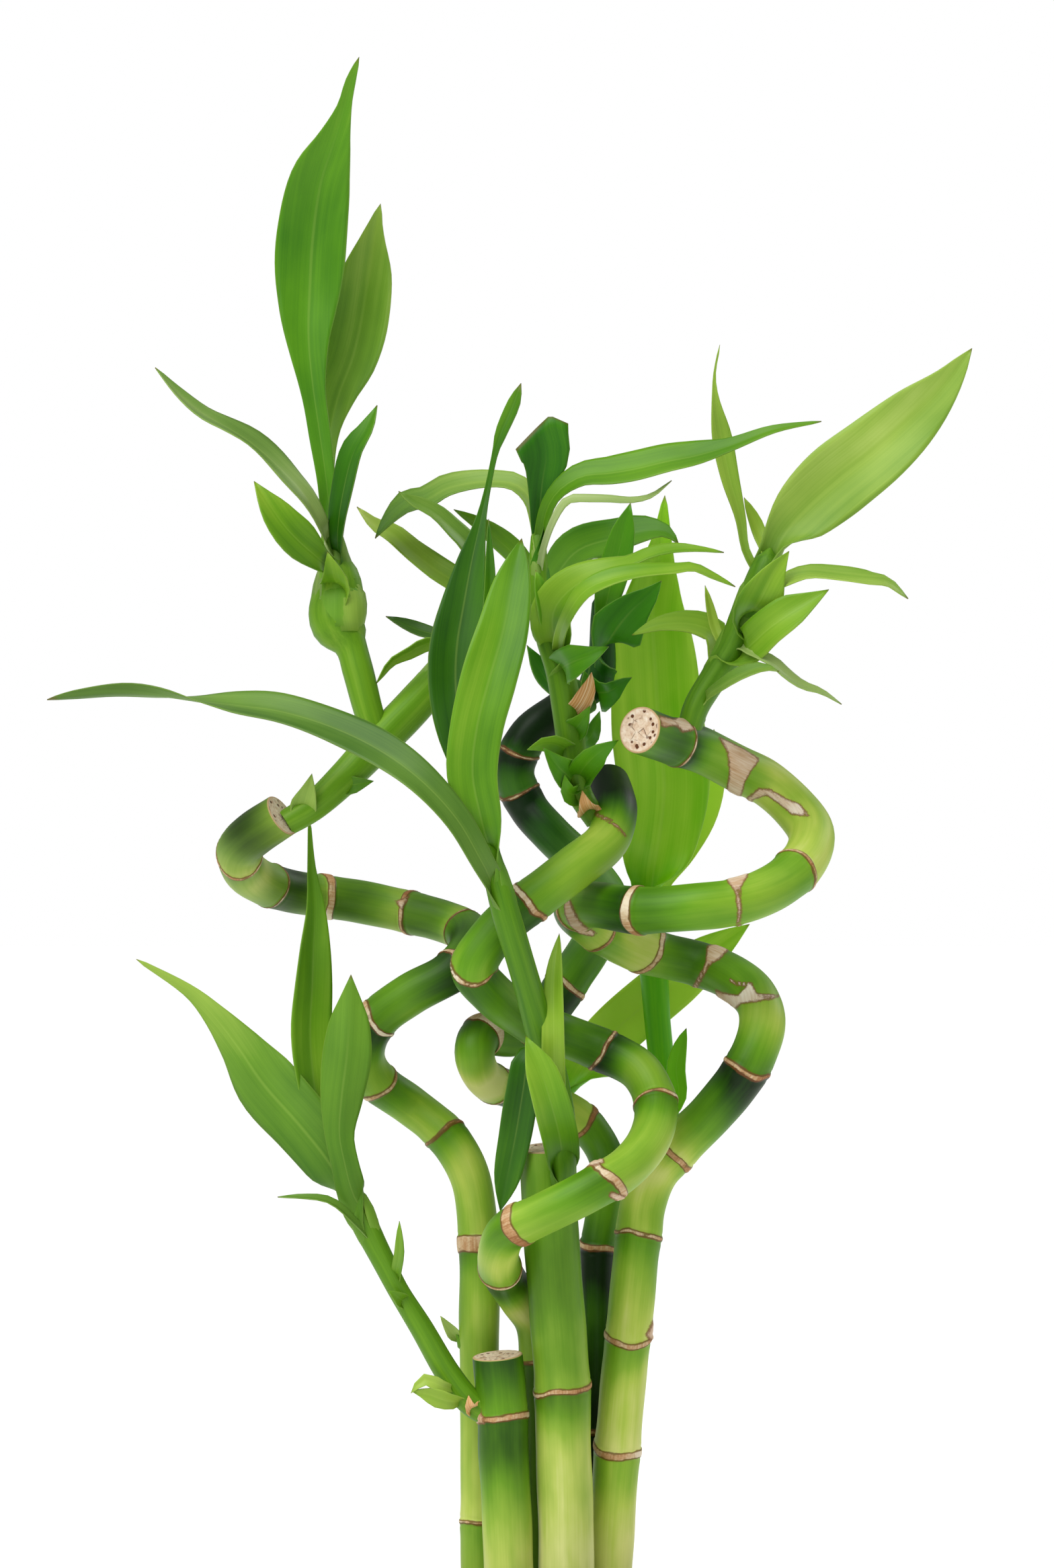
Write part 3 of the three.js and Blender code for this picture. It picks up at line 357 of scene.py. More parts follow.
SHOOT_LEFT = Shoot("shoot_left", stem_tone=0.5, stems=[
    [
        [425, 1225, -13, 3.4], [465, 1200, -12, 3.8], [510, 1160, -10, 4.4], [560, 1108, -6, 4.9],
        [620, 1045, -1, 5.1], [660, 998, 3, 4.6], [690, 940, 6, 3.2]],
    [
        [572, 1120, -5, 2.8], [551, 1068, -5, 3.8], [533, 1000, -4, 4], [522, 962, -3, 4.3],
        [503, 930, -2, 7], [502, 898, -1, 7.2], [505, 862, -1, 5.6], [495, 830, 0, 3.6], [493, 770, 1, 2]]
], leaves=[
    Leaf(19.5, [0, 8, 0], [
        [497, 810, 0], [486, 720, 0], [475, 640, 1], [465, 570, 2], [459, 500, 3], [461, 430, 4],
        [466, 350, 4], [478, 270, 3], [496, 214, 1], [511, 165, -1], [521, 123, -3], [534, 85, -6]],
        profile=[0.22, 0.24, 0.3, 0.34, 0.53, 0.8, 0.99, 0.95, 0.76, 0.43, 0.2, 0.14, 0.03],
        tones=[0.12, 0.12, -0.08], cast=-0.6),
    Leaf(16.5, [10, 15, 10], [
        [496, 790, 1.5], [488, 700, 6], [492, 640, 8], [504, 588, 9], [524, 535, 10], [537, 481, 11],
        [548, 407, 11], [557, 344, 10], [566, 303, 9]],
        profile=[0.2, 0.22, 0.34, 0.62, 0.9, 1, 0.85, 0.33, 0.04], tones=[0.05, -0.05, -0.1], cast=0.3),
    Leaf(11, [50, 66, 62], [
        [492, 825, -3], [475, 775, -6], [455, 740, -8], [430, 712, -9], [400, 682, -9], [370, 657, -9],
        [340, 638, -9], [300, 615, -8], [262, 583, -6], [231, 547, -4]], tones=[-0.2, 0, 0.05], cast=0.6),
    Leaf(11, [25, 30, 25], [
        [486, 862, -3.5], [470, 828, -9], [447, 808, -11], [425, 785, -12], [400, 750, -12],
        [378, 716, -11]], tones=[0.1, 0.05, -0.15]),
    Leaf(9, [40, 50, 40], [
        [504, 850, -3], [503, 790, -5], [509, 744, -6], [527, 672, -7], [546, 640, -7], [561, 603, -6]],
        tones=[0.35, 0.3, 0.1], cast=-0.5),
    Leaf(12.5, [0], [
        [502, 902, -1.5], [500, 874, -5], [494, 848, -7.5], [487, 821, -8]], profile=[1, 1, 0.78, 0.1],
        tones=[0.08, -0.1], sheath=14),
    Leaf(8, [20, 50, 50], [
        [690, 945, 6], [704, 885, 5], [706, 840, 4], [696, 811, 3], [673, 788, 2], [646, 764, 1],
        [610, 745, 0], [593, 731, 0]], tones=[0.05], cast=0.4),
    Leaf(9, [20, 45, 45], [
        [688, 945, 7], [692, 893, 9], [680, 870, 10], [646, 847, 11], [615, 823, 12], [582, 794, 13],
        [558, 782, 13], [531, 754, 13]], tones=[0.15, -0.15, -0.5], cast=0.2),
    Leaf(5, [40, 50, 50], [
        [672, 972, 4], [653, 949, 5], [620, 937, 6], [598, 928, 6], [574, 917, 6]], tones=[0.25],
        cast=0.5),
    Leaf(5.5, [-30, -50, -50], [
        [668, 985, 2], [653, 957, -2], [631, 958, -3], [608, 970, -4], [582, 984, -5], [560, 1017, -5]]),
    Leaf(7, [0], [
        [446, 1214, -14], [456, 1185, -15], [464, 1151, -15]], profile=BRACT, tones=[-0.15], cast=0.4),
    Leaf(5, [0], [[505, 1178, -12], [530, 1167, -12], [556, 1162, -12]], profile=BRACT, tones=[0.25])])

SHOOT_FRONT = Shoot("shoot_front", stem_tone=0.62, stems=[
    [
        [836, 1772, -13, 2.8], [838, 1730, -16, 3.6], [833, 1680, -17, 4.4], [824, 1620, -17, 4.4],
        [808, 1550, -18, 4.1], [792, 1492, -21, 3.9], [774, 1430, -25, 3.7], [755, 1367, -27, 3.7],
        [738, 1305, -27, 3.3], [722, 1250, -27, 2.3]]
], leaves=[
    Leaf(14.6, [0, 5, 10], [
        [736, 1300, -28], [715, 1215, -29], [703, 1150, -29], [710, 1080, -29], [728, 1010, -28],
        [748, 940, -26], [762, 870, -23], [776, 801, -19]],
        profile=[0.45, 0.75, 0.9, 0.95, 1, 0.92, 0.68, 0.05], tones=[0.05, 0.12, 0.1], cast=-0.3),
    Leaf(14, [0, 10, 20], [
        [730, 1290, -25.5], [705, 1150, -21], [686, 1080, -19], [678, 1020, -17], [680, 960, -16],
        [690, 900, -15], [702, 835, -14], [715, 776, -13], [725, 730, -12], [737, 673, -12],
        [746, 644, -12], [765, 600, -12], [775, 570, -12]],
        profile=[0.4, 0.75, 0.95, 1, 1, 0.85, 0.55, 0.22, 0.12, 0.12, 0.24, 0.26, 0.04],
        tones=[0.5, 0.3, 0.1], cast=-0.2),
    Leaf(11.5, [30, 30, 35, 50, 84, 122, 125], [
        [748, 1345, -28], [715, 1280, -31], [680, 1220, -32], [630, 1165, -31], [570, 1120, -28],
        [500, 1085, -24], [420, 1060, -20], [350, 1050, -17], [295, 1044, -16], [240, 1036, -15],
        [180, 1031, -14], [110, 1036, -13], [70, 1041, -12]],
        profile=[0.5, 0.62, 0.82, 0.95, 1, 0.92, 0.75, 0.5, 0.05], tones=[0.15], cast=0.5),
    Leaf(10, [10], [
        [838, 1755, -15.5], [834, 1700, -20.5], [822, 1650, -24], [805, 1595, -24.5], [790, 1560, -24],
        [782, 1541, -23]], profile=[0.75, 0.95, 1, 0.85, 0.5, 0.05], tones=[0.15, -0.12, -0.1], cast=-0.3),
    Leaf(6.4, [20], [
        [829, 1640, -18.5], [824, 1530, -22], [825, 1450, -20], [832, 1389, -17]], profile=BRACT,
        tones=[-0.12]),
    Leaf(8.8, [10, 10, 20], [
        [806, 1548, -17], [788, 1572, -17], [778, 1625, -16], [768, 1685, -14], [755, 1751, -12],
        [744, 1802, -11]], profile=[0.7, 0.9, 1, 1, 0.82, 0.08], tones=[0.3], cast=-0.3),
    Leaf(4.5, [10], [
        [733, 1290, -26.5], [722, 1150, -25], [722, 1050, -24], [727, 950, -22], [729, 860, -20],
        [727, 772, -19]], tones=[0.1, 0.15, 0.35], cast=-0.2)])

SHOOT_MIDDLE = Shoot("shoot_middle", stems=[
    [
        [888, 1222, -1, 3], [862, 1180, -1, 3.3], [852, 1122, -1, 3.7], [844, 1060, -1, 3.9],
        [833, 997, -1, 3.8], [815, 945, 0, 3.4], [805, 895, 0, 3], [801, 840, 1, 2.5], [801, 780, 2, 1.7]]
], leaves=[
    Leaf(15, [0], [
        [803, 840, 1], [802, 770, 0], [807, 715, -1], [812, 680, -1.5], [806, 648, -2]],
        profile=[0.26, 0.31, 0.55, 0.85, 1], tones=[0.25], cast=-1, crown=5),
    Leaf(12.5, [20, 50, 50, 50, 45], [
        [804, 830, 0], [822, 742, -3], [862, 711, -4], [908, 705, -5], [943, 699, -6], [994, 687, -7],
        [1035, 679, -7], [1086, 664, -7], [1150, 640, -7], [1222, 627, -6]],
        profile=[0.3, 0.4, 0.7, 0.87, 0.95, 1, 0.85, 0.42, 0.24, 0.05], tones=[0.02], cast=-0.3),
    Leaf(4.5, [30, 60, 66, 60], [
        [805, 860, -1], [824, 775, -7], [846, 745, -9], [877, 743, -10], [908, 744, -10], [938, 746, -10],
        [969, 739, -9], [999, 715, -8]], tones=[-0.25], cast=0.7),
    Leaf(11.5, [20, 55, 58, 50], [
        [800, 830, 3], [792, 748, 5], [768, 722, 6], [740, 717, 7], [696, 720, 8], [661, 729, 9],
        [637, 743, 9], [606, 752, 8], [579, 776, 7], [558, 801, 6]],
        profile=[0.4, 0.5, 0.6, 0.65, 0.8, 0.95, 0.95, 1, 0.85, 0.06], tones=[-0.1, -0.05, 0.3], cast=0.4),
    Leaf(8, [20, 40, 40], [
        [806, 900, 1.2], [790, 858, 9], [765, 826, 11], [740, 803, 12], [719, 785, 13], [675, 758, 13]],
        tones=[0.05]),
    Leaf(12.5, [25, 35, 40, 45], [
        [811, 930, 1.8], [820, 880, 6], [836, 845, 11], [866, 816, 17], [915, 801, 20], [958, 790, 20.5],
        [990, 792, 20], [1010, 810, 19]], tones=[0.1], cast=-0.4),
    Leaf(12.5, [10, 35, 68, 65, 60], [
        [828, 990, -2.6], [824, 910, -9], [846, 880, -11], [882, 858, -13], [920, 846, -14],
        [942, 839, -14], [969, 827, -14], [1002, 819, -13], [1040, 818, -13], [1077, 822, -12]],
        profile=[0.7, 0.95, 0.95, 0.85, 0.8, 0.72, 0.6, 0.45, 0.22, 0.05], tones=[-0.1], cast=-0.2),
    Leaf(7.5, [15, 50, 66, 60], [
        [831, 985, -2.8], [845, 915, -15], [870, 880, -18], [900, 865, -19], [943, 855, -19],
        [1004, 849, -18], [1031, 846, -17], [1061, 858, -16], [1094, 873, -15]], tones=[-0.05], cast=-0.3),
    Leaf(5.5, [20], [[818, 965, -2.5], [812, 905, -8], [797, 848, -9]], tones=[-0.1], cast=-0.7),
    Leaf(6, [30], [[843, 1060, 1], [808, 1005, 8], [784, 960, 9]], tones=[0.25], cast=-1),
    Leaf(9.5, [15], [
        [832, 1003, -2.8], [850, 986, -9], [878, 975, -11], [906, 962, -11]], profile=BRACT, tones=[0.05],
        cast=-0.9),
    Leaf(8.5, [20], [[856, 1172, -2.5], [830, 1140, -8], [808, 1112, -9]], profile=BRACT, cast=-0.8),
    Leaf(6, [-20], [
        [850, 1128, -3], [816, 1106, -6], [784, 1116, -6]], profile=BRACT, tones=[-0.15], cast=-0.8),
    Leaf(8, [-20], [
        [862, 1168, -2.5], [884, 1125, -9], [920, 1101, -10]], profile=BRACT, tones=[0.08], cast=-0.9),
    Leaf(6, [10], [[858, 1195, -3], [844, 1176, -6.5], [840, 1152, -7]], profile=BRACT, cast=-0.7),
    Leaf(5, [10], [
        [855, 1120, 0.6], [880, 1094, 6], [892, 1058, 7]], profile=BRACT, tones=[0.1], cast=-0.9),
    Leaf(6.5, [0], [
        [850, 1098, -2], [866, 1072, -5], [878, 1050, -6]], profile=BRACT, tones=[-0.05], cast=-0.8),
    Leaf(5.5, [0], [
        [846, 1072, -1], [864, 1048, -4], [876, 1022, -5], [880, 1000, -5]], profile=BRACT, dry=0.85),
    Leaf(7.5, [0], [[880, 1216, -3.5], [871, 1198, -5], [866, 1176, -5]], profile=BRACT, dry=1)])

SHOOT_RIGHT = Shoot("shoot_right", stem_tone=0.6, stems=[
    [
        [1022, 1100, -3, 3.2], [1036, 1052, -3, 3.6], [1062, 1008, -2, 3.8], [1091, 962, -1, 4.2],
        [1108, 925, 0, 4.8], [1126, 888, 0, 5], [1138, 850, 0, 4.4], [1146, 815, 0, 2.6]]
], leaves=[
    Leaf(20, [5, 10, 10], [
        [1138, 842, 0], [1162, 800, 1], [1200, 758, 2], [1248, 715, 3], [1300, 674, 3], [1356, 624, 3],
        [1406, 573, 2], [1446, 518, 1]], profile=[0.3, 0.5, 0.82, 0.98, 1, 0.94, 0.74, 0.4, 0.05],
        tones=[-0.15], cast=0.3),
    Leaf(5.6, [20, 15, 10], [
        [1124, 870, -1], [1109, 818, 1], [1101, 770, 3], [1085, 710, 4], [1073, 650, 4], [1064, 592, 3],
        [1063, 557, 3], [1071, 513, 2]], profile=[0.5, 0.4, 0.55, 0.93, 1, 0.35, 0.12, 0.08], tones=[-0.2],
        cast=0.2),
    Leaf(4, [20], [[1136, 845, 2], [1128, 790, 5], [1107, 740, 6]], tones=[-0.25]),
    Leaf(12.6, [-10], [
        [1108, 938, -3.5], [1131, 892, -6.5], [1152, 852, -7], [1174, 820, -7]], profile=[1, 1, 0.8, 0.1],
        tones=[0.1, -0.1, -0.1], cast=-0.2),
    Leaf(9.5, [40, 64, 66, 60], [
        [1124, 890, -1.5], [1165, 866, -5], [1200, 856, -6], [1248, 860, -7], [1294, 865, -7],
        [1320, 868, -6], [1351, 891, -5]], tones=[-0.2], cast=0.3),
    Leaf(10.6, [20, 30, 30], [
        [1092, 985, -3], [1114, 962, -6], [1142, 937, -8], [1174, 914, -9], [1205, 895, -9],
        [1233, 877, -9]], profile=[0.85, 1, 1, 0.96, 0.72, 0.06], tones=[0.1, -0.05, -0.05], cast=-0.2),
    Leaf(6, [40, 55, 55], [
        [1044, 1056, -5], [1079, 1017, -9], [1110, 1001, -10], [1138, 994, -10], [1159, 999, -10]],
        tones=[-0.12], cast=0.4),
    Leaf(5.5, [40, 66, 66], [
        [1086, 960, -3], [1118, 971, -7], [1148, 986, -8], [1171, 1007, -8], [1194, 1022, -8],
        [1221, 1030, -8], [1252, 1048, -7]], tones=[-0.15], cast=0.6),
    Leaf(9, [20, 45, 50], [
        [1046, 1040, 0], [1064, 985, 3], [1062, 944, 5], [1034, 930, 5], [985, 930, 4], [940, 945, 3]],
        tones=[-0.15], cast=-0.3),
    Leaf(3, [20], [[1070, 985, 1], [1062, 929, 2], [1049, 871, 2]], tones=[-0.2])])

SHOOT_LOW_LEFT = Shoot("shoot_low_left", stems=[
    [
        [738, 2110, -13, 3.2], [700, 2086, -13, 3.5], [666, 2043, -13, 3.35], [625, 1973, -13, 3.1],
        [592, 1918, -13, 2.75], [571, 1877, -13, 2.95], [549, 1835, -13, 3.3], [531, 1797, -13, 3.8],
        [519, 1768, -13, 3]]
], leaves=[
    Leaf(19, [175, 165, 170], [
        [539, 1815, -13.4], [513, 1768, -13.2], [484, 1722, -12.4], [443, 1671, -10.4], [391, 1612, -7],
        [353, 1557, -5.5], [320, 1514, -4.5], [285, 1478, -3.5], [203, 1427, -3]],
        profile=[0.5, 0.6, 0.82, 0.9, 0.97, 0.62, 0.36, 0.2, 0.04], tones=[0.5, 0.3, 0, -0.1]),
    Leaf(11.8, [20, 28, 28], [
        [521, 1780, -12.2], [484, 1700, -6.5], [468, 1620, -7], [461, 1540, -7], [464, 1470, -6],
        [466, 1410, -6], [468, 1350, -6], [463, 1290, -6], [460, 1218, -6]],
        profile=[0.4, 0.55, 0.86, 1, 0.95, 0.77, 0.46, 0.2, 0.06], tones=[-0.05, 0.05, 0.1], cast=-0.2),
    Leaf(13, [180], [
        [536, 1812, -14], [522, 1768, -16.5], [512, 1727, -17.5], [505, 1689, -17.5], [508, 1635, -18],
        [516, 1571, -18], [520, 1510, -17], [522, 1450, -16]],
        profile=[0.55, 0.6, 0.56, 0.6, 0.86, 1, 0.74, 0.05], tones=[0.3, 0.3, 0.1]),
    Leaf(3.6, [50, 68, 68], [
        [560, 1862, -14.5], [528, 1818, -17], [490, 1788, -18], [452, 1782, -18], [413, 1781, -17]],
        tones=[0.1], cast=0.45),
    Leaf(3.2, [30], [[595, 1913, -14], [595, 1860, -18], [594, 1817, -18]], profile=BRACT, cast=0.2),
    Leaf(4, [10], [[608, 1945, -14.5], [592, 1930, -17], [577, 1920, -18]], profile=BRACT),
    Leaf(3.6, [20], [
        [676, 2082, -15.5], [655, 2062, -19], [632, 2053, -20], [611, 2073, -20]], tones=[-0.2], cast=0.2),
    Leaf(5.4, [-10], [
        [696, 2104, -15.5], [664, 2084, -18.5], [636, 2074, -19.5], [612, 2070, -19.5]], tones=[-0.25],
        cast=0.2),
    Leaf(5.5, [0], [[706, 2102, -14.5], [700, 2094, -17.5], [697, 2076, -18]], profile=BRACT, dry=1)])

# The two back shoots take the backlit slot, whose bright greens paint light shining through their leaves.
SHOOT_BACK_RIGHT = Shoot("shoot_back_right", slot="bright_leaf", tone=0.3, stems=[
    [
        [1004, 1722, 9, 2.6], [997, 1700, 15, 3.2], [991, 1640, 24, 3.4], [985, 1590, 27, 3.5],
        [978, 1520, 28, 3.7], [973, 1450, 29, 4], [962, 1380, 29, 3.4], [951, 1320, 29, 2.6]]
], leaves=[
    Leaf(26, [0, 5, 0], [
        [955, 1350, 29], [968, 1312, 30], [980, 1250, 30], [988, 1170, 30], [980, 1080, 29],
        [975, 1000, 29], [971, 920, 28], [976, 860, 27], [984, 805, 26], [989, 737, 25]],
        profile=[0.25, 0.6, 0.86, 1, 0.95, 0.84, 0.54, 0.25, 0.03], tones=[-0.15]),
    Leaf(9.5, [10], [
        [960, 1385, 30], [985, 1310, 33], [1012, 1265, 35], [1045, 1208, 36], [1063, 1150, 36],
        [1062, 1085, 35]], tones=[-0.55]),
    Leaf(5.2, [10], [
        [994, 1672, 20], [1010, 1635, 20], [1006, 1590, 19], [1012, 1558, 18], [1021, 1530, 17]],
        tones=[0.2])])

SHOOT_LOW_BACK = Shoot("shoot_low_back", slot="bright_leaf", tone=0.35, stems=[
    [[874, 1682, 17, 2.2], [856, 1664, 21.5, 2.6], [838, 1648, 24, 2.6], [829, 1630, 25, 1.8]]
], leaves=[
    Leaf(15, [0, 0, 10], [
        [836, 1646, 24], [860, 1602, 27], [890, 1563, 30.5], [925, 1524, 33], [975, 1482, 35],
        [1015, 1450, 34.5], [1055, 1418, 32], [1115, 1375, 30]],
        profile=[0.6, 0.85, 1, 1, 1, 0.95, 0.7, 0.05], tones=[-0.1, -0.5, -0.2])])

SHOOT_BACK = Shoot("shoot_back", slot="dark_leaf", tone=0.75, stem_tone=0.8, stems=[
    [
        [868, 1040, 18, 3.2], [890, 1015, 19, 3.8], [896, 970, 19, 3.6], [894, 920, 18, 2.8],
        [892, 880, 17, 1.8]]
], leaves=[
    Leaf(8.5, [10], [
        [893, 985, 17], [902, 900, 14], [915, 845, 13], [928, 790, 13], [938, 748, 13]], tones=[-0.45]),
    Leaf(17, [-10], [
        [893, 1000, 17.5], [908, 950, 13], [938, 910, 12], [966, 885, 12], [984, 864, 12]],
        tones=[-0.3, -0.4]),
    Leaf(11, [-20], [
        [890, 1042, 17.2], [908, 1028, 12], [925, 1016, 11], [940, 1008, 11]], profile=BRACT,
        tones=[-0.35]),
    Leaf(5, [0], [[884, 1026, 17.5], [874, 1016, 15], [869, 998, 13]], profile=BRACT, tones=[-0.4])])

SHOOT_BUD = Shoot("shoot_bud", stems=[
    [[700, 2008, 5, 1.6], [688, 1998, 5, 1.8], [679, 1985, 5, 1.3]]
], leaves=[
    Leaf(4.6, [0], [
        [690, 2003, 5], [681, 1992, 5], [668, 1976, 4.6], [655, 1958, 4]], profile=[1, 0.95, 0.6, 0.06],
        tones=[-0.3], cast=0.4)])

SHOOTS = [
    SHOOT_LEFT, SHOOT_FRONT, SHOOT_MIDDLE, SHOOT_RIGHT, SHOOT_LOW_LEFT, SHOOT_BACK_RIGHT, SHOOT_LOW_BACK,
    SHOOT_BACK, SHOOT_BUD]


def depth_of(down, back):
    """A depth in mm behind the vase's axis, for a depth given at a row of the view."""
    rise = np.clip((FEET_ROW - down) / (FEET_ROW - COIL_ROW), 0, 1)
    return back * (1 + (COIL_DEPTH - 1) * rise)


def place(rows):
    """The points, in mm, that the view shows at pixels, at depths behind the vase's axis."""
    across, down, back = np.array([row[:3] for row in rows], float).T
    slope = MM_PER_PIXEL / VIEW_DISTANCE
    ray = VIEW_AHEAD + np.outer((VIEW_MIDDLE[1] - down) * slope, VIEW_UP)
    ray[:, 0] += (across - VIEW_MIDDLE[0]) * slope
    reach = (depth_of(down, back) - VIEW_EYE[1]) / ray[:, 1]
    return VIEW_EYE + ray * reach[:, None]


def pixels_of(points):
    """Where the view shows points given in mm."""
    away = points - VIEW_EYE
    scale = VIEW_DISTANCE / MM_PER_PIXEL / (away @ VIEW_AHEAD)
    return np.stack([VIEW_MIDDLE[0] + away[:, 0] * scale, VIEW_MIDDLE[1] - (away @ VIEW_UP) * scale], 1)


def unit(vectors):
    """The same directions, one long."""
    return vectors / np.linalg.norm(vectors, axis=-1, keepdims=True)


def fade(values, low, high):
    """0 below low, 1 above high, and smooth between them."""
    share = np.clip((values - low) / (high - low), 0, 1)
    return share * share * (3 - 2 * share)


def neighbours(values, shares):
    """The four values around spots at shares of the way through a list, and how far each spot lies past the
    second of them."""
    rows = len(values) - 1
    spots = np.clip(shares, 0, 1) * rows
    index = np.minimum(spots.astype(int), rows - 1)
    padded = np.concatenate([[2 * values[0] - values[1]], values, [2 * values[-1] - values[-2]]])
    return [padded[index + step] for step in range(4)], spots - index


def curve(start, end, slope_in, slope_out, rest):
    """A smooth way from start to end with a slope at each."""
    cubic = 2 * start - 2 * end + slope_in + slope_out
    square = -3 * start + 3 * end - 2 * slope_in - slope_out
    return ((cubic * rest + square) * rest + slope_in) * rest + start


def smooth(values, shares):
    """A list of numbers read smoothly at shares of the way through it."""
    values = np.array(values, float)
    if len(values) == 1:
        return np.full(len(shares), values[0])
    (before, start, end, after), rest = neighbours(values, shares)
    return curve(start, end, (end - before) / 2, (after - start) / 2, rest)


class Route:
    """A smooth curve through given points, with its length measured along it."""

    def __init__(self, points):
        self.points = points
        self.rows = len(points) - 1
        self.shares = np.linspace(0, 1, 40 * self.rows + 1)
        steps = np.linalg.norm(np.diff(self.at(self.shares), axis=0), axis=1)
        self.lengths = np.concatenate([[0], np.cumsum(steps)])
        self.length = self.lengths[-1]

    def at(self, shares):
        """The points at shares of the rows; the gaps between rows set the slopes, so it never loops."""
        near, rest = neighbours(self.points, shares)
        before, start, end, after = near
        first, middle, last = (np.linalg.norm(b - a, axis=1)[:, None] ** 0.5 for a, b in zip(near, near[1:]))
        slope_in = (start - before) / first - (end - before) / (first + middle) + (end - start) / middle
        slope_out = (end - start) / middle - (after - start) / (middle + last) + (after - end) / last
        return curve(start, end, slope_in * middle, slope_out * middle, rest[:, None])

    def heading(self, shares):
        """Which way the curve runs there."""
        step = 1e-4
        return unit(self.at(np.minimum(shares + step, 1)) - self.at(np.maximum(shares - step, 0)))

    def share_at(self, lengths):
        return np.interp(lengths, self.lengths, self.shares)

    def length_at(self, share):
        return float(np.interp(share, self.shares, self.lengths))

    def nearest(self, point):
        """The length along the curve that lies nearest to a point."""
        away = np.linalg.norm(self.at(self.shares) - point, axis=1)
        return self.lengths[int(away.argmin())]

    def stations(self, step, marks=()):
        """Lengths along the curve, closer together around the marks."""
        spots = list(np.linspace(0, self.length, max(2, round(self.length / step) + 1)))
        reach = RING_SWELL_REACH
        for mark in marks:
            spots += list(np.arange(mark - reach, mark + reach + RING_STEP / 2, RING_STEP))
        spots = np.unique(np.clip(spots, 0, self.length))
        kept = np.concatenate([[True], np.diff(spots) > RING_STEP * 0.6])
        kept[-1] = True
        return spots[kept]


class Rod:
    """A round rod along a route: its stations, the angles around it, and the ways outward, which are carried
    along it without a twist."""

    def __init__(self, route, lengths, count):
        self.shares = route.share_at(lengths)
        self.middles = route.at(self.shares)
        self.headings = route.heading(self.shares)
        sideways = np.array([1.0, 0, 0])
        sides = []
        for heading in self.headings:
            sideways = unit(sideways - heading * (sideways @ heading))
            sides.append(sideways)
        sides = np.array(sides)
        acrosses = np.cross(self.headings, sides)
        self.around, self.along = np.meshgrid(np.arange(count) / count * TURN, lengths)
        self.outward = (np.cos(self.around)[..., None] * sides[:, None]
                        + np.sin(self.around)[..., None] * acrosses[:, None])

    def skin(self, radius):
        """The points of the skin, and where they would lie on a straight rod."""
        points = self.middles[:, None] + radius[..., None] * self.outward
        laid = [radius * np.cos(self.around), radius * np.sin(self.around), self.along]
        return points, np.stack(laid, -1)


class Shell:
    """Points, faces and point values of one piece while it is made, in mm."""

    NAMES = ("laid", "tone", "cast", "edge", "shade", "ring", "torn", "done", "dry")

    def __init__(self):
        self.points = []
        self.faces = []
        self.finishes = []
        self.values = {name: [] for name in self.NAMES}
        self.count = 0

    def add(self, points, faces, finish, **values):
        """Adds a patch; a value that isn't given is 0, and one number holds for the whole patch."""
        points = np.asarray(points, float).reshape(-1, 3)
        self.points.append(points)
        self.faces.append(np.asarray(faces) + self.count)
        self.finishes.append(np.full(len(faces), finish))
        for name, kept in self.values.items():
            shape = (len(points), 3) if name == "laid" else (len(points),)
            given = np.asarray(values.get(name, 0.0), float)
            kept.append(np.broadcast_to(given, shape) if given.ndim == 0 else given.reshape(shape))
        self.count += len(points)

    def piece(self, name, materials):
        """The piece as an object, in metres, with its point values as attributes."""
        mesh = bpy.data.meshes.new(name)
        faces = [tuple(dict.fromkeys(face)) for patch in self.faces for face in patch.tolist()]
        mesh.from_pydata((np.vstack(self.points) * MM).tolist(), [], faces)
        for attribute, kept in self.values.items():
            whole = np.concatenate(kept).astype(np.float32).ravel()
            kind, field = ("FLOAT_VECTOR", "vector") if attribute == "laid" else ("FLOAT", "value")
            mesh.attributes.new(attribute, kind, "POINT").data.foreach_set(field, whole)
        for material in materials:
            mesh.materials.append(material)
        mesh.polygons.foreach_set("material_index", np.concatenate(self.finishes).astype(np.int32))
        mesh.polygons.foreach_set("use_smooth", np.ones(len(faces), bool))
        mesh.update()
        made = bpy.data.objects.new(name, mesh)
        bpy.context.scene.collection.objects.link(made)
        return made


def grid_faces(rows, columns, closed=False):
    """Quads between rows of points; a closed grid joins the last column to the first."""
    steps = columns if closed else columns - 1
    row, column = np.meshgrid(np.arange(rows - 1), np.arange(steps), indexing="ij")
    following = (column + 1) % columns
    low = row * columns
    high = low + columns
    quads = np.stack([low + column, low + following, high + following, high + column], -1)
    return quads.reshape(-1, 4)


def fan_faces(sides):
    """Triangles from a closed rim to a middle point that follows it."""
    return [[side, (side + 1) % sides, sides, sides] for side in range(sides)]


def pick(piece):
    """Leaves only this piece selected and active."""
    bpy.ops.object.select_all(action="DESELECT")
    piece.select_set(True)
    bpy.context.view_layer.objects.active = piece


def finish_with(piece, kind, **settings):
    """Adds a modifier with its settings and applies it."""
    pick(piece)
    bpy.ops.object.modifier_add(type=kind)
    modifier = piece.modifiers[-1]
    for name, setting in settings.items():
        setattr(modifier, name, setting)
    bpy.ops.object.modifier_apply(modifier=modifier.name)


def joined(pieces, name):
    """One piece made of several."""
    pick(pieces[0])
    for piece in pieces[1:]:
        piece.select_set(True)
    bpy.ops.object.join()
    pieces[0].name = name
    return pieces[0]


def ring_wave(angles, seed):
    """How far a node ring wanders along its rod at angles around it, with one shallow dip at the bud."""
    draw = np.random.default_rng(seed)
    lean, twist = draw.uniform(*RING_LEANS), draw.uniform(0, TURN)
    bud = draw.uniform(0, TURN)
    dip = np.exp(-((np.angle(np.exp(1j * (angles - bud)))) / BUD_DIP_REACH) ** 2)
    return lean * np.cos(angles - twist) + RING_WAVER * np.cos(3 * angles + bud) + BUD_DIP * dip


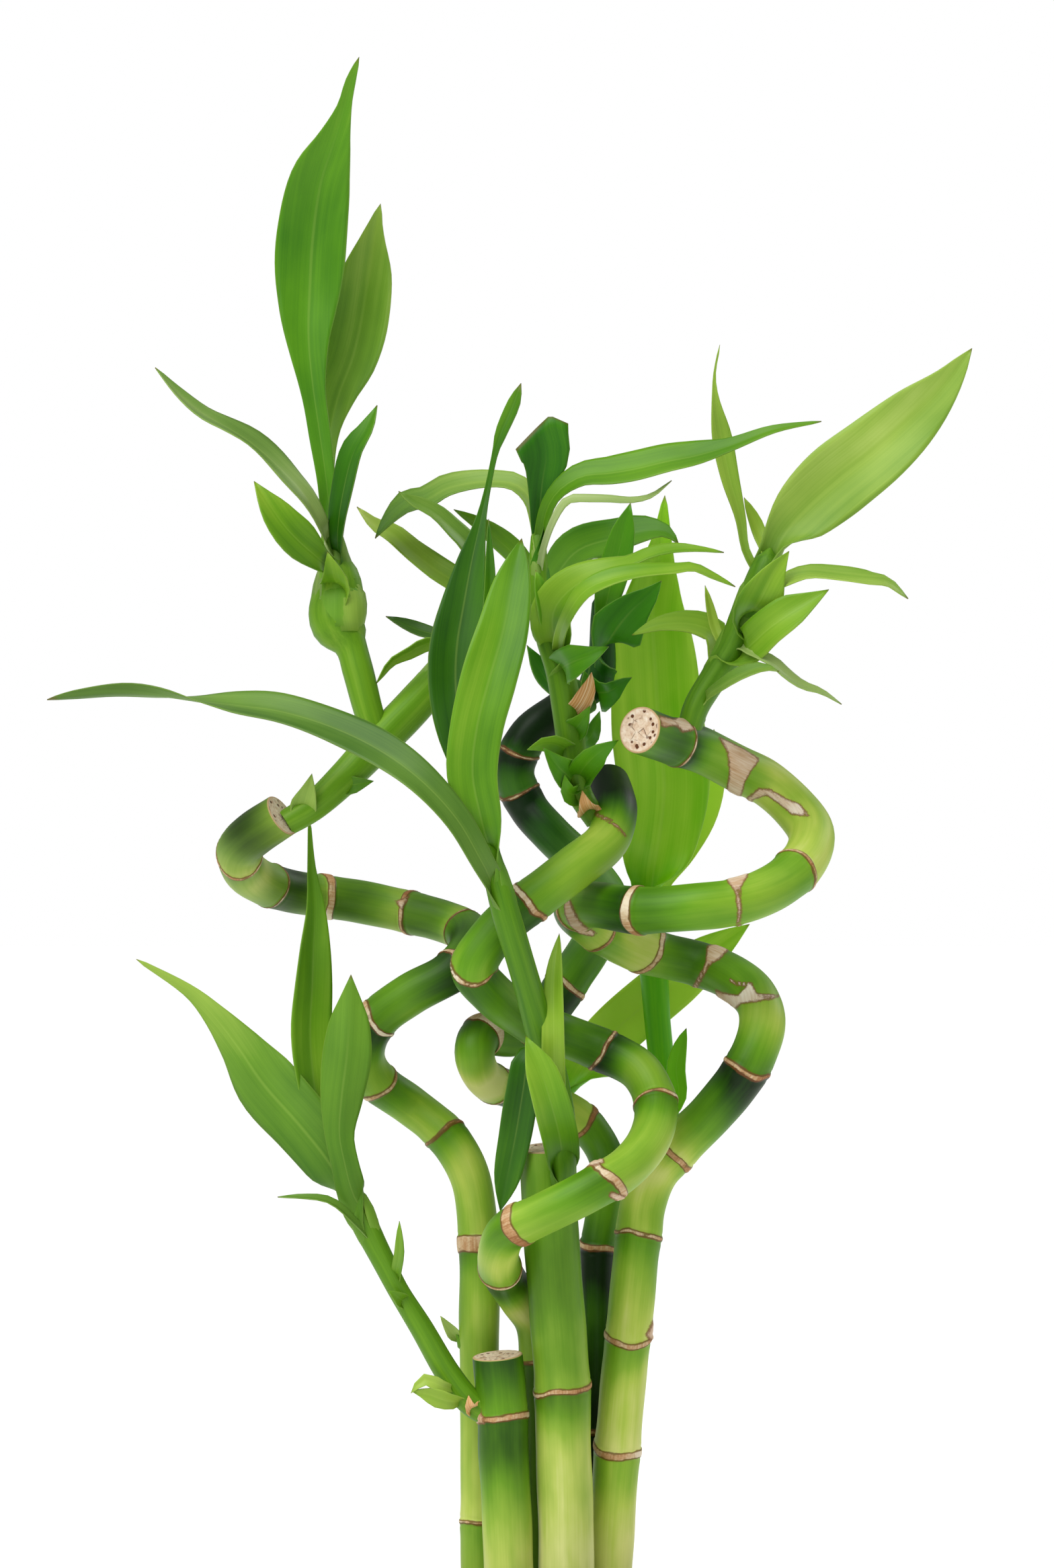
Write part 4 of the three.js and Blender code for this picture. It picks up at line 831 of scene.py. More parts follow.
def ring_shade(past, angles, halves, seed):
    """How much deeper the green is around the node rings: deep below them, a little paler above."""
    draw = np.random.default_rng(seed)
    deepest = np.zeros(angles.shape)
    palest = np.zeros(angles.shape)
    for k, half in enumerate(halves):
        turn, reach = draw.uniform(0, TURN), draw.uniform(*DEEP_REACHES)
        reach = reach * (1 + 0.45 * np.cos(angles - turn))
        below = -past[..., k] - half
        above = past[..., k] - half
        deep = np.exp(-((np.maximum(below, 0) / reach) ** 2.2))
        deepest = np.maximum(deepest, np.where(below > 0, deep, 0))
        palest = np.maximum(palest, np.where(above > 0, np.exp(-((above / PALE_REACH) ** 2)), 0))
    return deepest - 0.2 * palest


def ripple(lengths, angles, seed, size):
    """Slow swellings of a grown surface."""
    draw = np.random.default_rng(seed)
    total = np.zeros(np.broadcast(lengths, angles).shape)
    for turns in range(4):
        phase = draw.uniform(0, TURN, 2)
        wave = draw.uniform(*RIPPLE_LENGTHS)
        total = total + np.sin(lengths / wave * TURN + phase[0]) * np.cos(turns * angles + phase[1])
    return size * total / 2


def inside_by(pixels, outline):
    """How far pixels lie inside an outline drawn in the view, in mm; outside is negative."""
    corners = np.array(outline, float)
    nexts = np.roll(corners, -1, axis=0)
    along = nexts - corners
    away = pixels[:, None] - corners
    part = np.clip((away * along).sum(-1) / (along ** 2).sum(-1), 0, 1)
    gaps = np.linalg.norm(away - part[..., None] * along, axis=-1).min(1)
    crosses = (corners[:, 1] > pixels[:, None, 1]) != (nexts[:, 1] > pixels[:, None, 1])
    rise = np.where(along[:, 1] == 0, 1e-9, along[:, 1])
    turns = pixels[:, None, 0] < along[:, 0] * (pixels[:, None, 1] - corners[:, 1]) / rise + corners[:, 0]
    inside = (crosses & turns).sum(1) % 2 == 1
    return np.where(inside, gaps, -gaps) * MM_PER_PIXEL


def torn_depths(points, outward, outlines):
    """How deep points lie in the torn sheaths that the view shows, in mm, on the side towards the view."""
    if not outlines:
        return np.full(points.shape[:2], NOT_TORN)
    facing = -(outward * unit(points - VIEW_EYE)).sum(-1)
    pixels = pixels_of(points.reshape(-1, 3))
    deepest = np.max([inside_by(pixels, outline) for outline in outlines], axis=0).reshape(facing.shape)
    return np.where(facing > 0.02, np.maximum(deepest, NOT_TORN), NOT_TORN)


def cane_shell(cane, seed):
    """A cane from its foot in the pebbles to its cut top, with its node rings and both cut ends."""
    upper = place(cane.route)
    route = Route(np.vstack([[upper[0, 0], upper[0, 1], CANE_FOOT], upper]))
    marks = [route.length_at(ring.place / route.rows) for ring in cane.rings]
    halves = np.array([ring.width / 2 - RING_RIM for ring in cane.rings])
    rod = Rod(route, route.stations(CANE_STEP, marks), CANE_SIDES)
    beside = (rod.outward * unit(np.cross(rod.headings, [0, 1, 0]))[:, None]).sum(-1)
    toward = -rod.outward[..., 1]
    past = np.stack([
        rod.along - mark - ring.bow * toward - ring.slant * beside - ring_wave(rod.around, seed + k)
        for k, (mark, ring) in enumerate(zip(marks, cane.rings))], -1)
    shade = ring_shade(past, rod.around, halves, seed)
    nearest = np.abs(past).argmin(-1)
    past = np.take_along_axis(past, nearest[..., None], -1)[..., 0]
    ring = np.maximum(np.abs(past) - halves[nearest], 0)
    radius = smooth(cane.radii, rod.shares)[:, None] + ripple(rod.along, rod.around, seed, CANE_RIPPLE)
    radius = radius + RING_SWELL * (np.exp(-((past / RING_SWELL_REACH) ** 2)) - 0.5)
    radius = radius + RING_LIP * np.exp(-((ring / RING_LIP_REACH) ** 4))
    radius = radius - RING_GROOVE * np.exp(-(((ring - RING_GROOVE_AWAY) / RING_GROOVE_REACH) ** 2))
    points, laid = rod.skin(radius)
    torn = torn_depths(points, rod.outward, cane.torn)
    points = points + (TORN_RISE * fade(torn, -0.1, 0.35))[..., None] * rod.outward
    # The route's tones also paint the light and shade that fall on each stretch.
    tones = [cane.route[0][3]] + [row[3] for row in cane.route]
    tone = np.broadcast_to(smooth(tones, rod.shares)[:, None], radius.shape)
    cast = np.broadcast_to(smooth(cane.casts, rod.shares)[:, None], radius.shape)
    shell = Shell()
    shell.add(points, grid_faces(*radius.shape, closed=True), 0,
              laid=laid, ring=ring, tone=tone, torn=torn, shade=shade, cast=cast)
    add_cut(shell, points[-1], rod.middles[-1], rod.headings[-1], laid[-1])
    add_cut(shell, points[0][::-1], rod.middles[0], -rod.headings[0], laid[0][::-1])
    return shell


def add_cut(shell, rim, middle, heading, laid):
    """A cut end: a small worn edge, then a slightly hollow face that closes on its middle."""
    sides = len(rim)
    rings = [middle + (rim - middle) * share + heading * lift for share, lift in CUT_STEPS]
    flat = [np.column_stack([laid[:, :2] * share, laid[:, 2]]) for share, _ in CUT_STEPS]
    edge = np.repeat([share for share, _ in CUT_STEPS], sides)
    shell.add(rings, grid_faces(len(CUT_STEPS), sides, closed=True), 1,
              laid=np.array(flat), edge=edge, torn=NOT_TORN, ring=FAR_FROM_RING)
    centre = middle + heading * CUT_STEPS[-1][1]
    shell.add(np.vstack([rings[-1], centre]), fan_faces(sides), 1, torn=NOT_TORN, ring=FAR_FROM_RING,
              laid=np.vstack([flat[-1], [0, 0, laid[0, 2]]]), edge=np.append(edge[-sides:], 0))


class Stem:
    """A soft stem's route and its radius along it."""

    def __init__(self, rows):
        self.route = Route(place(rows))
        self.radii = [row[3] for row in rows]

    def radius_at(self, lengths):
        return smooth(self.radii, self.route.share_at(lengths))

    def point_at(self, length):
        return self.route.at(self.route.share_at(np.array([length])))[0]

    def gap_to(self, point):
        return np.linalg.norm(self.point_at(self.route.nearest(point)) - point)


def add_stem(shell, stem, seed, tone):
    """The core of a soft stem, which its leaf bases wrap."""
    route = stem.route
    lengths = route.stations(STEM_STEP)
    rod = Rod(route, lengths, STEM_SIDES)
    radius = stem.radius_at(lengths)[:, None] * (1 + 0.03 * np.cos(2 * rod.around + seed))
    radius = radius + ripple(rod.along, rod.around, seed, STEM_RIPPLE)
    points, laid = rod.skin(radius * (1 - 0.85 * fade(rod.along, route.length - 3, route.length)))
    shell.add(points, grid_faces(*radius.shape, closed=True), 0, laid=laid, tone=tone)
    for end, turn in ((0, -1), (-1, 1)):
        shell.add(np.vstack([points[end][::turn], rod.middles[end]]), fan_faces(STEM_SIDES), 0, tone=tone,
                  laid=np.vstack([laid[end][::turn], [0, 0, lengths[end]]]))


class Midrib:
    """A leaf's midrib: a sheath that hugs the nearest stem, then the blade, with the ways across and up."""

    def __init__(self, leaf, stems):
        rows = place(leaf.route)
        stem = min(stems, key=lambda one: one.gap_to(rows[0]))
        grip = stem.route.nearest(rows[0])
        sheath = min(leaf.sheath, max(grip - 1, 1.5))
        opening = BRACT_OPENING if leaf.small else min(LONGEST_OPENING, 1.2 * leaf.width)
        route = Route(np.vstack([stem.point_at(grip - sheath), stem.point_at(grip), rows[1:]]))
        self.length = route.length
        self.lengths = np.linspace(0, route.length, max(10, round(route.length / BLADE_STEP)) + 1)
        shares = route.share_at(self.lengths)
        self.blade = np.clip((shares * route.rows - 1) / (route.rows - 1), 0, 1)
        self.middles = route.at(shares)
        self.headings = route.heading(shares)
        self.hug = 1 - fade(self.lengths, 0.5 * sheath, sheath + opening)[:, None]
        grip_radius = stem.radius_at(np.clip(grip - sheath + self.lengths, 0, stem.route.length))[:, None]
        proud = 0.75 * fade(self.lengths, 0, sheath)[:, None] - 0.4
        self.grip_radius = grip_radius + proud
        self.sides, self.normals = self.turned(leaf, rows)

    def turned(self, leaf, rows):
        """The ways across and up: rolled as the leaf is set, but facing the stem where it is hugged."""
        lean = -1 if rows[-1, 0] > rows[0, 0] else 1
        rolls = lean * np.radians(smooth(leaf.rolls, self.blade))[:, None]
        flat_side = unit(np.cross(self.headings, [0, 1, 0]))
        sides = flat_side * np.cos(rolls) + np.cross(self.headings, flat_side) * np.sin(rolls)
        normals = np.cross(self.headings, sides)
        stem_way = self.headings[0]
        leaving = rows[len(rows) // 2] - rows[0]
        inward = -unit(leaving - stem_way * (leaving @ stem_way))
        turn = np.unwrap(np.arctan2(sides @ inward, normals @ inward))[:, None] * self.hug
        return sides * np.cos(turn) - normals * np.sin(turn), normals * np.cos(turn) + sides * np.sin(turn)


def half_width(leaf, rib, clasp):
    """Half the sheet's width along the midrib: round the stem at the base, pointed at a grown tip."""
    width = np.maximum(leaf.width * smooth(leaf.profile, rib.blade), BLADE_LEAST_WIDTH)
    half = width[:, None] / 2
    half = half + (clasp * rib.grip_radius - half) * rib.hug ** 1.6
    if leaf.crown:
        return half
    return half * np.clip((rib.length - rib.lengths[:, None]) / (BLADE_TAPER * half) + 0.06, 0, 1)


def add_blade(shell, leaf, stems, seed, tone, stem_tone):
    """A leaf as one sheet: its base wraps the stem, then opens into a blade folded along the midrib."""
    draw = np.random.default_rng(seed)
    rib = Midrib(leaf, stems)
    free = 1 - rib.hug
    clasp = min(WIDEST_CLASP, 0.9 + leaf.width / 10)
    across = np.linspace(1, -1, BLADE_COLUMNS)[None]
    half = half_width(leaf, rib, clasp)
    curl = np.maximum(clasp * rib.hug, 1e-3)
    round_radius = half / curl
    spread = round_radius * np.sin(across * curl)
    cup = round_radius * (1 - np.cos(across * curl)) - rib.grip_radius * rib.hug
    tuck = TUCK * rib.hug * fade(np.abs(across), 0.55, 1.0)
    spread = spread * (1 - tuck / rib.grip_radius)
    cup = cup + tuck * np.cos(across * curl)
    valley = np.sqrt(across ** 2 + 0.03) - math.sqrt(0.03)
    fold = half * math.tan(BLADE_FOLD) * valley * free
    wave_length = draw.uniform(*WAVE_LENGTHS)
    phase = draw.uniform(0, TURN, 2)
    swing = np.sin(rib.lengths[:, None] / wave_length * TURN + np.where(across < 0, phase[0], phase[1]))
    waves = BLADE_WAVE * half * swing * np.abs(across) ** 2 * free
    rise = (cup + fold + waves)[..., None]
    crown = leaf.crown * (1 - np.abs(across + 0.4)) * fade(rib.blade, 0.5, 1)[:, None]
    points = rib.middles[:, None] + spread[..., None] * rib.sides[:, None] + rise * rib.normals[:, None]
    points = points + crown[..., None] * rib.headings[:, None]
    # A leaf's tones also paint the light and shade it shows.
    own = tone + smooth(leaf.tones, rib.blade)[:, None] + draw.uniform(-TONE_SPREAD, TONE_SPREAD)
    laid = np.stack(np.broadcast_arrays(half * across, rib.lengths[:, None], float(seed % 97) * 7), -1)
    shape = spread.shape
    shell.add(points, grid_faces(*shape), 1, laid=laid, cast=leaf.cast,
              edge=np.broadcast_to(across, shape),
              done=np.broadcast_to((rib.lengths / rib.length)[:, None], shape),
              dry=np.broadcast_to(leaf.dry * free, shape),
              tone=np.broadcast_to(own + (stem_tone - own) * rib.hug, shape))


def shoot_piece(shoot, materials, seed):
    """A leafy shoot: its stems, and its leaves given their thickness."""
    stems = [Stem(rows) for rows in shoot.stems]
    cores = Shell()
    for index, stem in enumerate(stems):
        add_stem(cores, stem, seed + index, shoot.stem_tone)
    blades = Shell()
    for index, leaf in enumerate(shoot.leaves):
        add_blade(blades, leaf, stems, seed * 31 + index, shoot.tone, shoot.stem_tone)
    stalks = cores.piece(shoot.name + "_stems", materials)
    leaves = blades.piece(shoot.name + "_leaves", materials)
    finish_with(leaves, "SOLIDIFY", thickness=BLADE_THICKNESS * MM, offset=0, use_even_offset=False,
                use_rim=True, material_offset=1, material_offset_rim=0)
    return joined([stalks, leaves], shoot.name + "_fine")


def inner_radius(height):
    """The vase's inner radius at a height."""
    return VASE_FOOT_RADIUS + (VASE_MOUTH_RADIUS - VASE_FOOT_RADIUS) * height / VASE_HEIGHT - VASE_WALL


def cone(sides, low_radius, high_radius, low, high):
    """An upright cone between two heights, with its place in its mesh."""
    bpy.ops.object.select_all(action="DESELECT")
    bpy.ops.mesh.primitive_cone_add(vertices=sides, radius1=low_radius * MM, radius2=high_radius * MM,
                                    depth=(high - low) * MM, location=(0, 0, (high + low) / 2 * MM))
    bpy.ops.object.transform_apply(location=True, rotation=True, scale=True)
    return bpy.context.object


def select_faces_at(piece, height, tolerance=0.2):
    """Selects the faces whose middles lie at a height, in mm."""
    bpy.ops.mesh.select_mode(type="FACE")
    bpy.ops.mesh.select_all(action="DESELECT")
    bpy.ops.object.mode_set(mode="OBJECT")
    for face in piece.data.polygons:
        face.select = abs(face.center.z - height * MM) < tolerance * MM
    bpy.ops.object.mode_set(mode="EDIT")


def vase_piece():
    """The vase: a turned tapered cup with a rounded lip, a rounded foot and an unglazed foot ring."""
    vase = cone(VASE_SIDES, VASE_FOOT_RADIUS, VASE_MOUTH_RADIUS, 0, VASE_HEIGHT)
    vase.name = "vase_glazed"
    bpy.ops.object.mode_set(mode="EDIT")
    select_faces_at(vase, VASE_HEIGHT)
    bpy.ops.mesh.inset(thickness=VASE_WALL * MM, depth=0)
    inner_share = inner_radius(VASE_FLOOR) / inner_radius(VASE_HEIGHT)
    bpy.ops.mesh.extrude_region_move(
        TRANSFORM_OT_translate={"value": (0, 0, (VASE_FLOOR - VASE_HEIGHT) * MM)})
    bpy.ops.transform.resize(value=(inner_share, inner_share, 1), center_override=(0, 0, VASE_FLOOR * MM))
    select_faces_at(vase, 0)
    for inset in FOOT_RING_INSETS:
        bpy.ops.mesh.inset(thickness=inset * MM, depth=0)
    bpy.ops.mesh.extrude_region_move(TRANSFORM_OT_translate={"value": (0, 0, FOOT_HOLLOW * MM)})
    bpy.ops.object.mode_set(mode="OBJECT")
    finish_with(vase, "BEVEL", width=VASE_LIP_ROUND * MM, segments=5, limit_method="ANGLE",
                angle_limit=math.radians(50))
    bpy.ops.object.shade_smooth_by_angle(angle=math.radians(35))
    return vase


def pebble_spots():
    """Middles and sizes of the stones: dropped one by one where they clear the canes and each other."""
    draw = np.random.default_rng(7)
    feet = np.array([place(cane.route[:1])[0] for cane in CANES])
    widest = np.array([max(cane.radii) for cane in CANES])
    spots = []
    for size, tries in STONES:
        reach = inner_radius(BED_TOP) - GAP - STONE_FROM_WALL - size * 0.96
        for _ in range(tries):
            away, angle = reach * math.sqrt(draw.uniform()), draw.uniform(0, TURN)
            x, y = away * math.cos(angle), away * math.sin(angle)
            if (np.hypot(feet[:, 0] - x, feet[:, 1] - y) < widest + size * 0.98 + STONE_FROM_CANE).any():
                continue
            if any(math.hypot(x - px, y - py) < STONE_SPACING * (size + other) for px, py, other in spots):
                continue
            spots.append((x, y, size))
    return spots


def pebble(x, y, size, draw):
    """One rounded stone that lies on the grit; small stones lie a little lower."""
    spot = Vector((x, y, BED_TOP + STONE_RISE - STONE_SINK * (STONES[0][0] - size))) * MM
    bpy.ops.mesh.primitive_ico_sphere_add(subdivisions=3, radius=size * MM, location=spot)
    stone = bpy.context.object
    stone.scale = (1, draw.uniform(*STONE_WIDTHS), draw.uniform(*STONE_HEIGHTS))
    stone.rotation_euler = (draw.uniform(*STONE_LEANS), draw.uniform(*STONE_LEANS), draw.uniform(0, 6.28))
    return stone


def bed_piece():
    """The bed: a packed plug of grit with rounded stones of several sizes lying on it."""
    draw = np.random.default_rng(11)
    bottom, top = VASE_FLOOR + GAP, BED_TOP - GRIT_BELOW_TOP
    parts = [cone(BED_SIDES, inner_radius(bottom) - 2 * GAP, inner_radius(top) - 2 * GAP, bottom, top)]
    parts += [pebble(x, y, size, draw) for x, y, size in pebble_spots()]
    for stone in parts:
        stone.select_set(True)
    bpy.ops.object.transform_apply(location=True, rotation=True, scale=True)
    for stone, value in zip(parts, draw.uniform(0, 1, len(parts))):
        attribute = stone.data.attributes.new("tone", "FLOAT", "POINT")
        attribute.data.foreach_set("value", np.full(len(stone.data.vertices), value, np.float32))
    bed = joined(parts, "bed_of_pebbles")
    bpy.ops.object.shade_smooth_by_angle(angle=math.radians(40))
    return bed


class Value:
    """One output among a finish's nodes, which takes part in plain sums."""

    def __init__(self, finish, socket):
        self.finish = finish
        self.socket = socket

    def __add__(self, other):
        return self.finish.sum("ADD", self, other)

    def __sub__(self, other):
        return self.finish.sum("SUBTRACT", self, other)

    def __mul__(self, other):
        return self.finish.sum("MULTIPLY", self, other)

    def __rsub__(self, other):
        return self.finish.sum("SUBTRACT", other, self)

    __radd__ = __add__
    __rmul__ = __mul__


class Finish:
    """A material, put together around one Principled shader."""

    def __init__(self, name, **settings):
        self.material = bpy.data.materials.new(name)
        self.material.use_nodes = True
        self.tree = self.material.node_tree
        self.shader = self.tree.nodes["Principled BSDF"]
        for socket, value in settings.items():
            self.shader.inputs[socket.replace("_", " ")].default_value = value

    def node(self, kind, settings=None, values=None, output=0):
        """A node with its settings made first, then the values or links of its sockets."""
        made = self.tree.nodes.new(kind)
        for name, setting in (settings or {}).items():
            if name == "stops":
                self.set_stops(made.color_ramp, setting)
            else:
                setattr(made, name, setting)
        for socket, value in (values or {}).items():
            self.feed(made.inputs[socket], value)
        return Value(self, made.outputs[output])

    def set_stops(self, ramp, stops):
        while len(ramp.elements) < len(stops):
            ramp.elements.new(1)
        for element, (spot, tint) in zip(ramp.elements, stops):
            element.position = spot
            element.color = paint(tint)

    def feed(self, socket, value):
        if isinstance(value, Value):
            self.tree.links.new(value.socket, socket)
        else:
            socket.default_value = value

    def sum(self, operation, *values):
        return self.node("ShaderNodeMath", {"operation": operation}, dict(enumerate(values)))

    def attribute(self, name, output="Fac"):
        return self.node("ShaderNodeAttribute", {"attribute_name": name}, output=output)

    def spot(self):
        return self.node("ShaderNodeTexCoord", output="Object")

    def stretched(self, vector, scale):
        return self.node("ShaderNodeMapping", values={"Vector": vector, "Scale": scale})

    def noise(self, vector, stretch=None, scale=1.0, detail=3.0, roughness=0.5):
        """Grain from 0 to 1; it is long where the stretch is small."""
        if stretch:
            vector = self.stretched(vector, stretch)
        return self.node("ShaderNodeTexNoise", values={
            "Vector": vector, "Scale": scale, "Detail": detail, "Roughness": roughness}, output="Fac")

    def fade(self, value, low, high):
        """0 below low, 1 above high, and smooth between them."""
        return self.node("ShaderNodeMapRange", {"interpolation_type": "SMOOTHSTEP"},
                         {"Value": value, "From Min": low, "From Max": high})

    def ramp(self, value, stops):
        return self.node("ShaderNodeValToRGB", {"stops": stops}, {"Fac": value})

    def mix(self, share, first, second):
        """The first colour where the share is 0, the second where it is 1."""
        first, second = (tint if isinstance(tint, Value) else paint(tint) for tint in (first, second))
        return self.node("ShaderNodeMix", {"data_type": "RGBA"}, {0: share, 6: first, 7: second}, output=2)

    def bump(self, height, distance, strength=1.0):
        """A relief from a height of 0 to 1 over a distance in mm."""
        return self.node("ShaderNodeBump", values={
            "Height": height, "Distance": distance * MM, "Strength": strength}, output="Normal")

    def greens(self, depth, plain, lively, dull):
        """The plain greens, passing into lively ones where the cast is below 0 and dull ones above 0."""
        cast = self.attribute("cast")
        green = self.mix(self.fade(cast, 0, -1), self.ramp(depth, plain), self.ramp(depth, lively))
        return self.mix(self.fade(cast, 0, 1), green, self.ramp(depth, dull))

    def done(self, **values):
        for socket, value in values.items():
            self.feed(self.shader.inputs[socket.replace("_", " ")], value)
        return self.material


def paint(tint):
    """A colour written as #rrggbb, as the shader's linear light."""
    parts = [int(tint[start:start + 2], 16) / 255 for start in (1, 3, 5)]
    linear = [part / 12.92 if part <= 0.04045 else ((part + 0.055) / 1.055) ** 2.4 for part in parts]
    return (*linear, 1)


def cane_skin():
    """Green cane: soft lengthwise streaks, dark shoulders, thin brown rings and torn dry sheaths."""
    finish = Finish("cane_skin", Specular_IOR_Level=0.22)
    laid = finish.attribute("laid", "Vector")
    torn = finish.attribute("torn")
    streaks = finish.noise(laid, (0.35, 0.35, 0.012))
    threads = finish.noise(laid, (2.2, 2.2, 0.04), detail=2)
    blotches = finish.noise(laid, (0.1, 0.1, 0.035))
    grit = finish.noise(laid, scale=1.3, detail=4, roughness=0.7)
    depth = finish.attribute("tone") + (streaks - 0.5) * 0.22 + (blotches - 0.5) * 0.5
    depth = depth + (threads - 0.5) * 0.08 + finish.attribute("shade") * 0.26
    # Below 0 the cast brings in the grey bloom, which on the back cane also paints a pale sheen.
    green = finish.greens(depth, CANE_GREENS, BLOOM_AND_SHEEN_GREENS, OLIVE_GREENS)
    from_ring = finish.attribute("ring") - (finish.noise(laid, (0.3, 0.3, 0.5)) * 1.1 - 0.2)
    rim = 1 - finish.fade(from_ring, 0.15, 0.45)
    scar = 1 - finish.fade(from_ring, -0.25, 0.0)
    fibres = finish.noise(laid, (1.8, 1.8, 0.12), detail=4, roughness=0.7)
    changing = finish.noise(laid, (0.09, 0.09, 0.05), detail=2)
    bark = finish.ramp(0.2 + fibres * 0.6 + (grit - 0.5) * 0.4 + (changing - 0.5) * 1.4, (
        (0.2, "#94623a"), (0.4, "#b98f63"), (0.6, "#d3bb96"), (0.8, "#e6d8bd")))
    colour = finish.mix(rim * 0.85, green, "#6b3f1e")
    colour = finish.mix(scar, colour, bark)
    ragged = torn + (grit - 0.5) * 1.1
    husk = finish.fade(ragged, 0.0, 0.25)
    hem = finish.fade(ragged, -0.35, 0.05) * (1 - finish.fade(ragged, 0.1, 0.6))
    paper = finish.ramp(fibres * 0.7 + (changing - 0.35) * 0.9, (
        (0.15, "#9d7048"), (0.35, "#c2a07c"), (0.55, "#d9c4aa"), (0.8, "#eee2d2")))
    colour = finish.mix(husk, colour, paper)
    colour = finish.mix(hem * 0.8, colour, "#7b4f2c")
    dry = finish.sum("MAXIMUM", scar, husk)
    height = threads * 0.25 + grit * 0.15 + dry * fibres * 0.9
    return finish.done(Base_Color=colour, Roughness=0.4 + streaks * 0.12 + dry * 0.3,
                       Normal=finish.bump(height, 0.1, 0.6))


def cut_wood():
    """A cut end: pale pith with dark strands near its edge and a few hairline cracks."""
    finish = Finish("cut_wood", Roughness=0.75, Specular_IOR_Level=0.25)
    laid = finish.attribute("laid", "Vector")
    edge = finish.attribute("edge")
    grain = finish.noise(laid, scale=0.8, detail=5, roughness=0.7)
    stains = finish.noise(laid, scale=0.35)
    face = finish.ramp(grain, ((0.25, "#c09c7c"), (0.5, "#dfc8ae"), (0.75, "#f0e4d4")))
    face = finish.mix(finish.fade(stains, 0.52, 0.68) * 0.5, face, "#b58562")
    strands = finish.node("ShaderNodeTexVoronoi", values={"Vector": laid, "Scale": 0.62, "Randomness": 1.0},
                          output="Distance")
    band = finish.fade(edge, 0.4, 0.6) * (1 - finish.fade(edge, 0.8, 0.9))
    dots = (1 - finish.fade(strands, 0.22, 0.36)) * band
    near_cracks = finish.stretched(laid, (0.4, 0.4, 0.4))
    cracks = finish.node("ShaderNodeTexVoronoi", {"feature": "DISTANCE_TO_EDGE"},
                         {"Vector": near_cracks, "Scale": 1.0}, output="Distance")
    middle = (1 - finish.fade(edge, 0.35, 0.75)) * finish.fade(stains, 0.4, 0.6)
    split = (1 - finish.fade(cracks, 0.0, 0.05)) * middle
    colour = finish.mix(dots, face, "#5d3217")
    colour = finish.mix(split * 0.6, colour, "#7d4522")
    colour = finish.mix(finish.fade(edge, 0.88, 0.95), colour, "#c6a37a")
    colour = finish.mix(finish.fade(edge, 0.975, 1.0), colour, "#6f8c35")
    return finish.done(Base_Color=colour, Normal=finish.bump(grain * 0.7 - dots * 0.8 - split, 0.3))


def leaf_finish(name, greens, roughness):
    """A leaf face: faint parallel veins, a soft midrib, a browned tip, and papery where it is dry."""
    finish = Finish(name, Roughness=roughness, Specular_IOR_Level=0.22)
    laid = finish.attribute("laid", "Vector")
    edge = finish.sum("ABSOLUTE", finish.attribute("edge"))
    done = finish.attribute("done")
    bands = finish.noise(laid, (0.4, 0.006, 1))
    veins = finish.noise(laid, (3.0, 0.01, 1), detail=2)
    clouds = finish.noise(laid, (0.06, 0.022, 1))
    depth = finish.attribute("tone") + (bands - 0.5) * 0.28 + (veins - 0.5) * 0.12 + (clouds - 0.5) * 0.6
    green = finish.greens(depth, greens, VIVID_GREENS, GREY_GREENS)
    rib = (1 - finish.fade(edge, 0.01, 0.07)) * (1 - finish.fade(done, 0.6, 0.95))
    colour = finish.mix(rib * 0.12, green, "#b3cd62")
    colour = finish.mix(finish.fade(edge, 0.95, 1.0) * 0.15, colour, "#b3cd62")
    tip = finish.fade(done + (clouds - 0.5) * 0.04, 0.98, 1.0)
    colour = finish.mix(tip * 0.65, colour, "#6a4f26")
    dry = finish.fade(finish.attribute("dry") + (clouds - 0.5) * 0.6, 0.3, 0.5)
    husk = finish.ramp(veins + (bands - 0.5) * 0.5, ((0.25, "#b0702f"), (0.45, "#d59c5c"), (0.7, "#eed2a8")))
    colour = finish.mix(dry, colour, husk)
    return finish.done(Base_Color=colour, Normal=finish.bump(veins * 0.4 + bands * 0.4, 0.1, 0.5))


def stem_finish(name, greens):
    """The core of a soft stem, with faint lengthwise streaks."""
    finish = Finish(name, Roughness=0.45, Specular_IOR_Level=0.22)
    laid = finish.attribute("laid", "Vector")
    bands = finish.noise(laid, (0.6, 0.6, 0.02), detail=4)
    threads = finish.noise(laid, (2.8, 2.8, 0.03), detail=2)
    depth = finish.attribute("tone") + (bands - 0.5) * 0.4 + (threads - 0.5) * 0.12
    height = threads * 0.5 + bands * 0.3
    return finish.done(Base_Color=finish.ramp(depth, greens), Normal=finish.bump(height, 0.12, 0.6))


def shoot_finishes(name, greens, under):
    """The three finishes of a shoot: its stem, the upper face of its leaves and their underside."""
    return [stem_finish(name + "_stem", greens), leaf_finish(name + "_face", greens, roughness=0.42),
            leaf_finish(name + "_underside", under, roughness=0.55)]


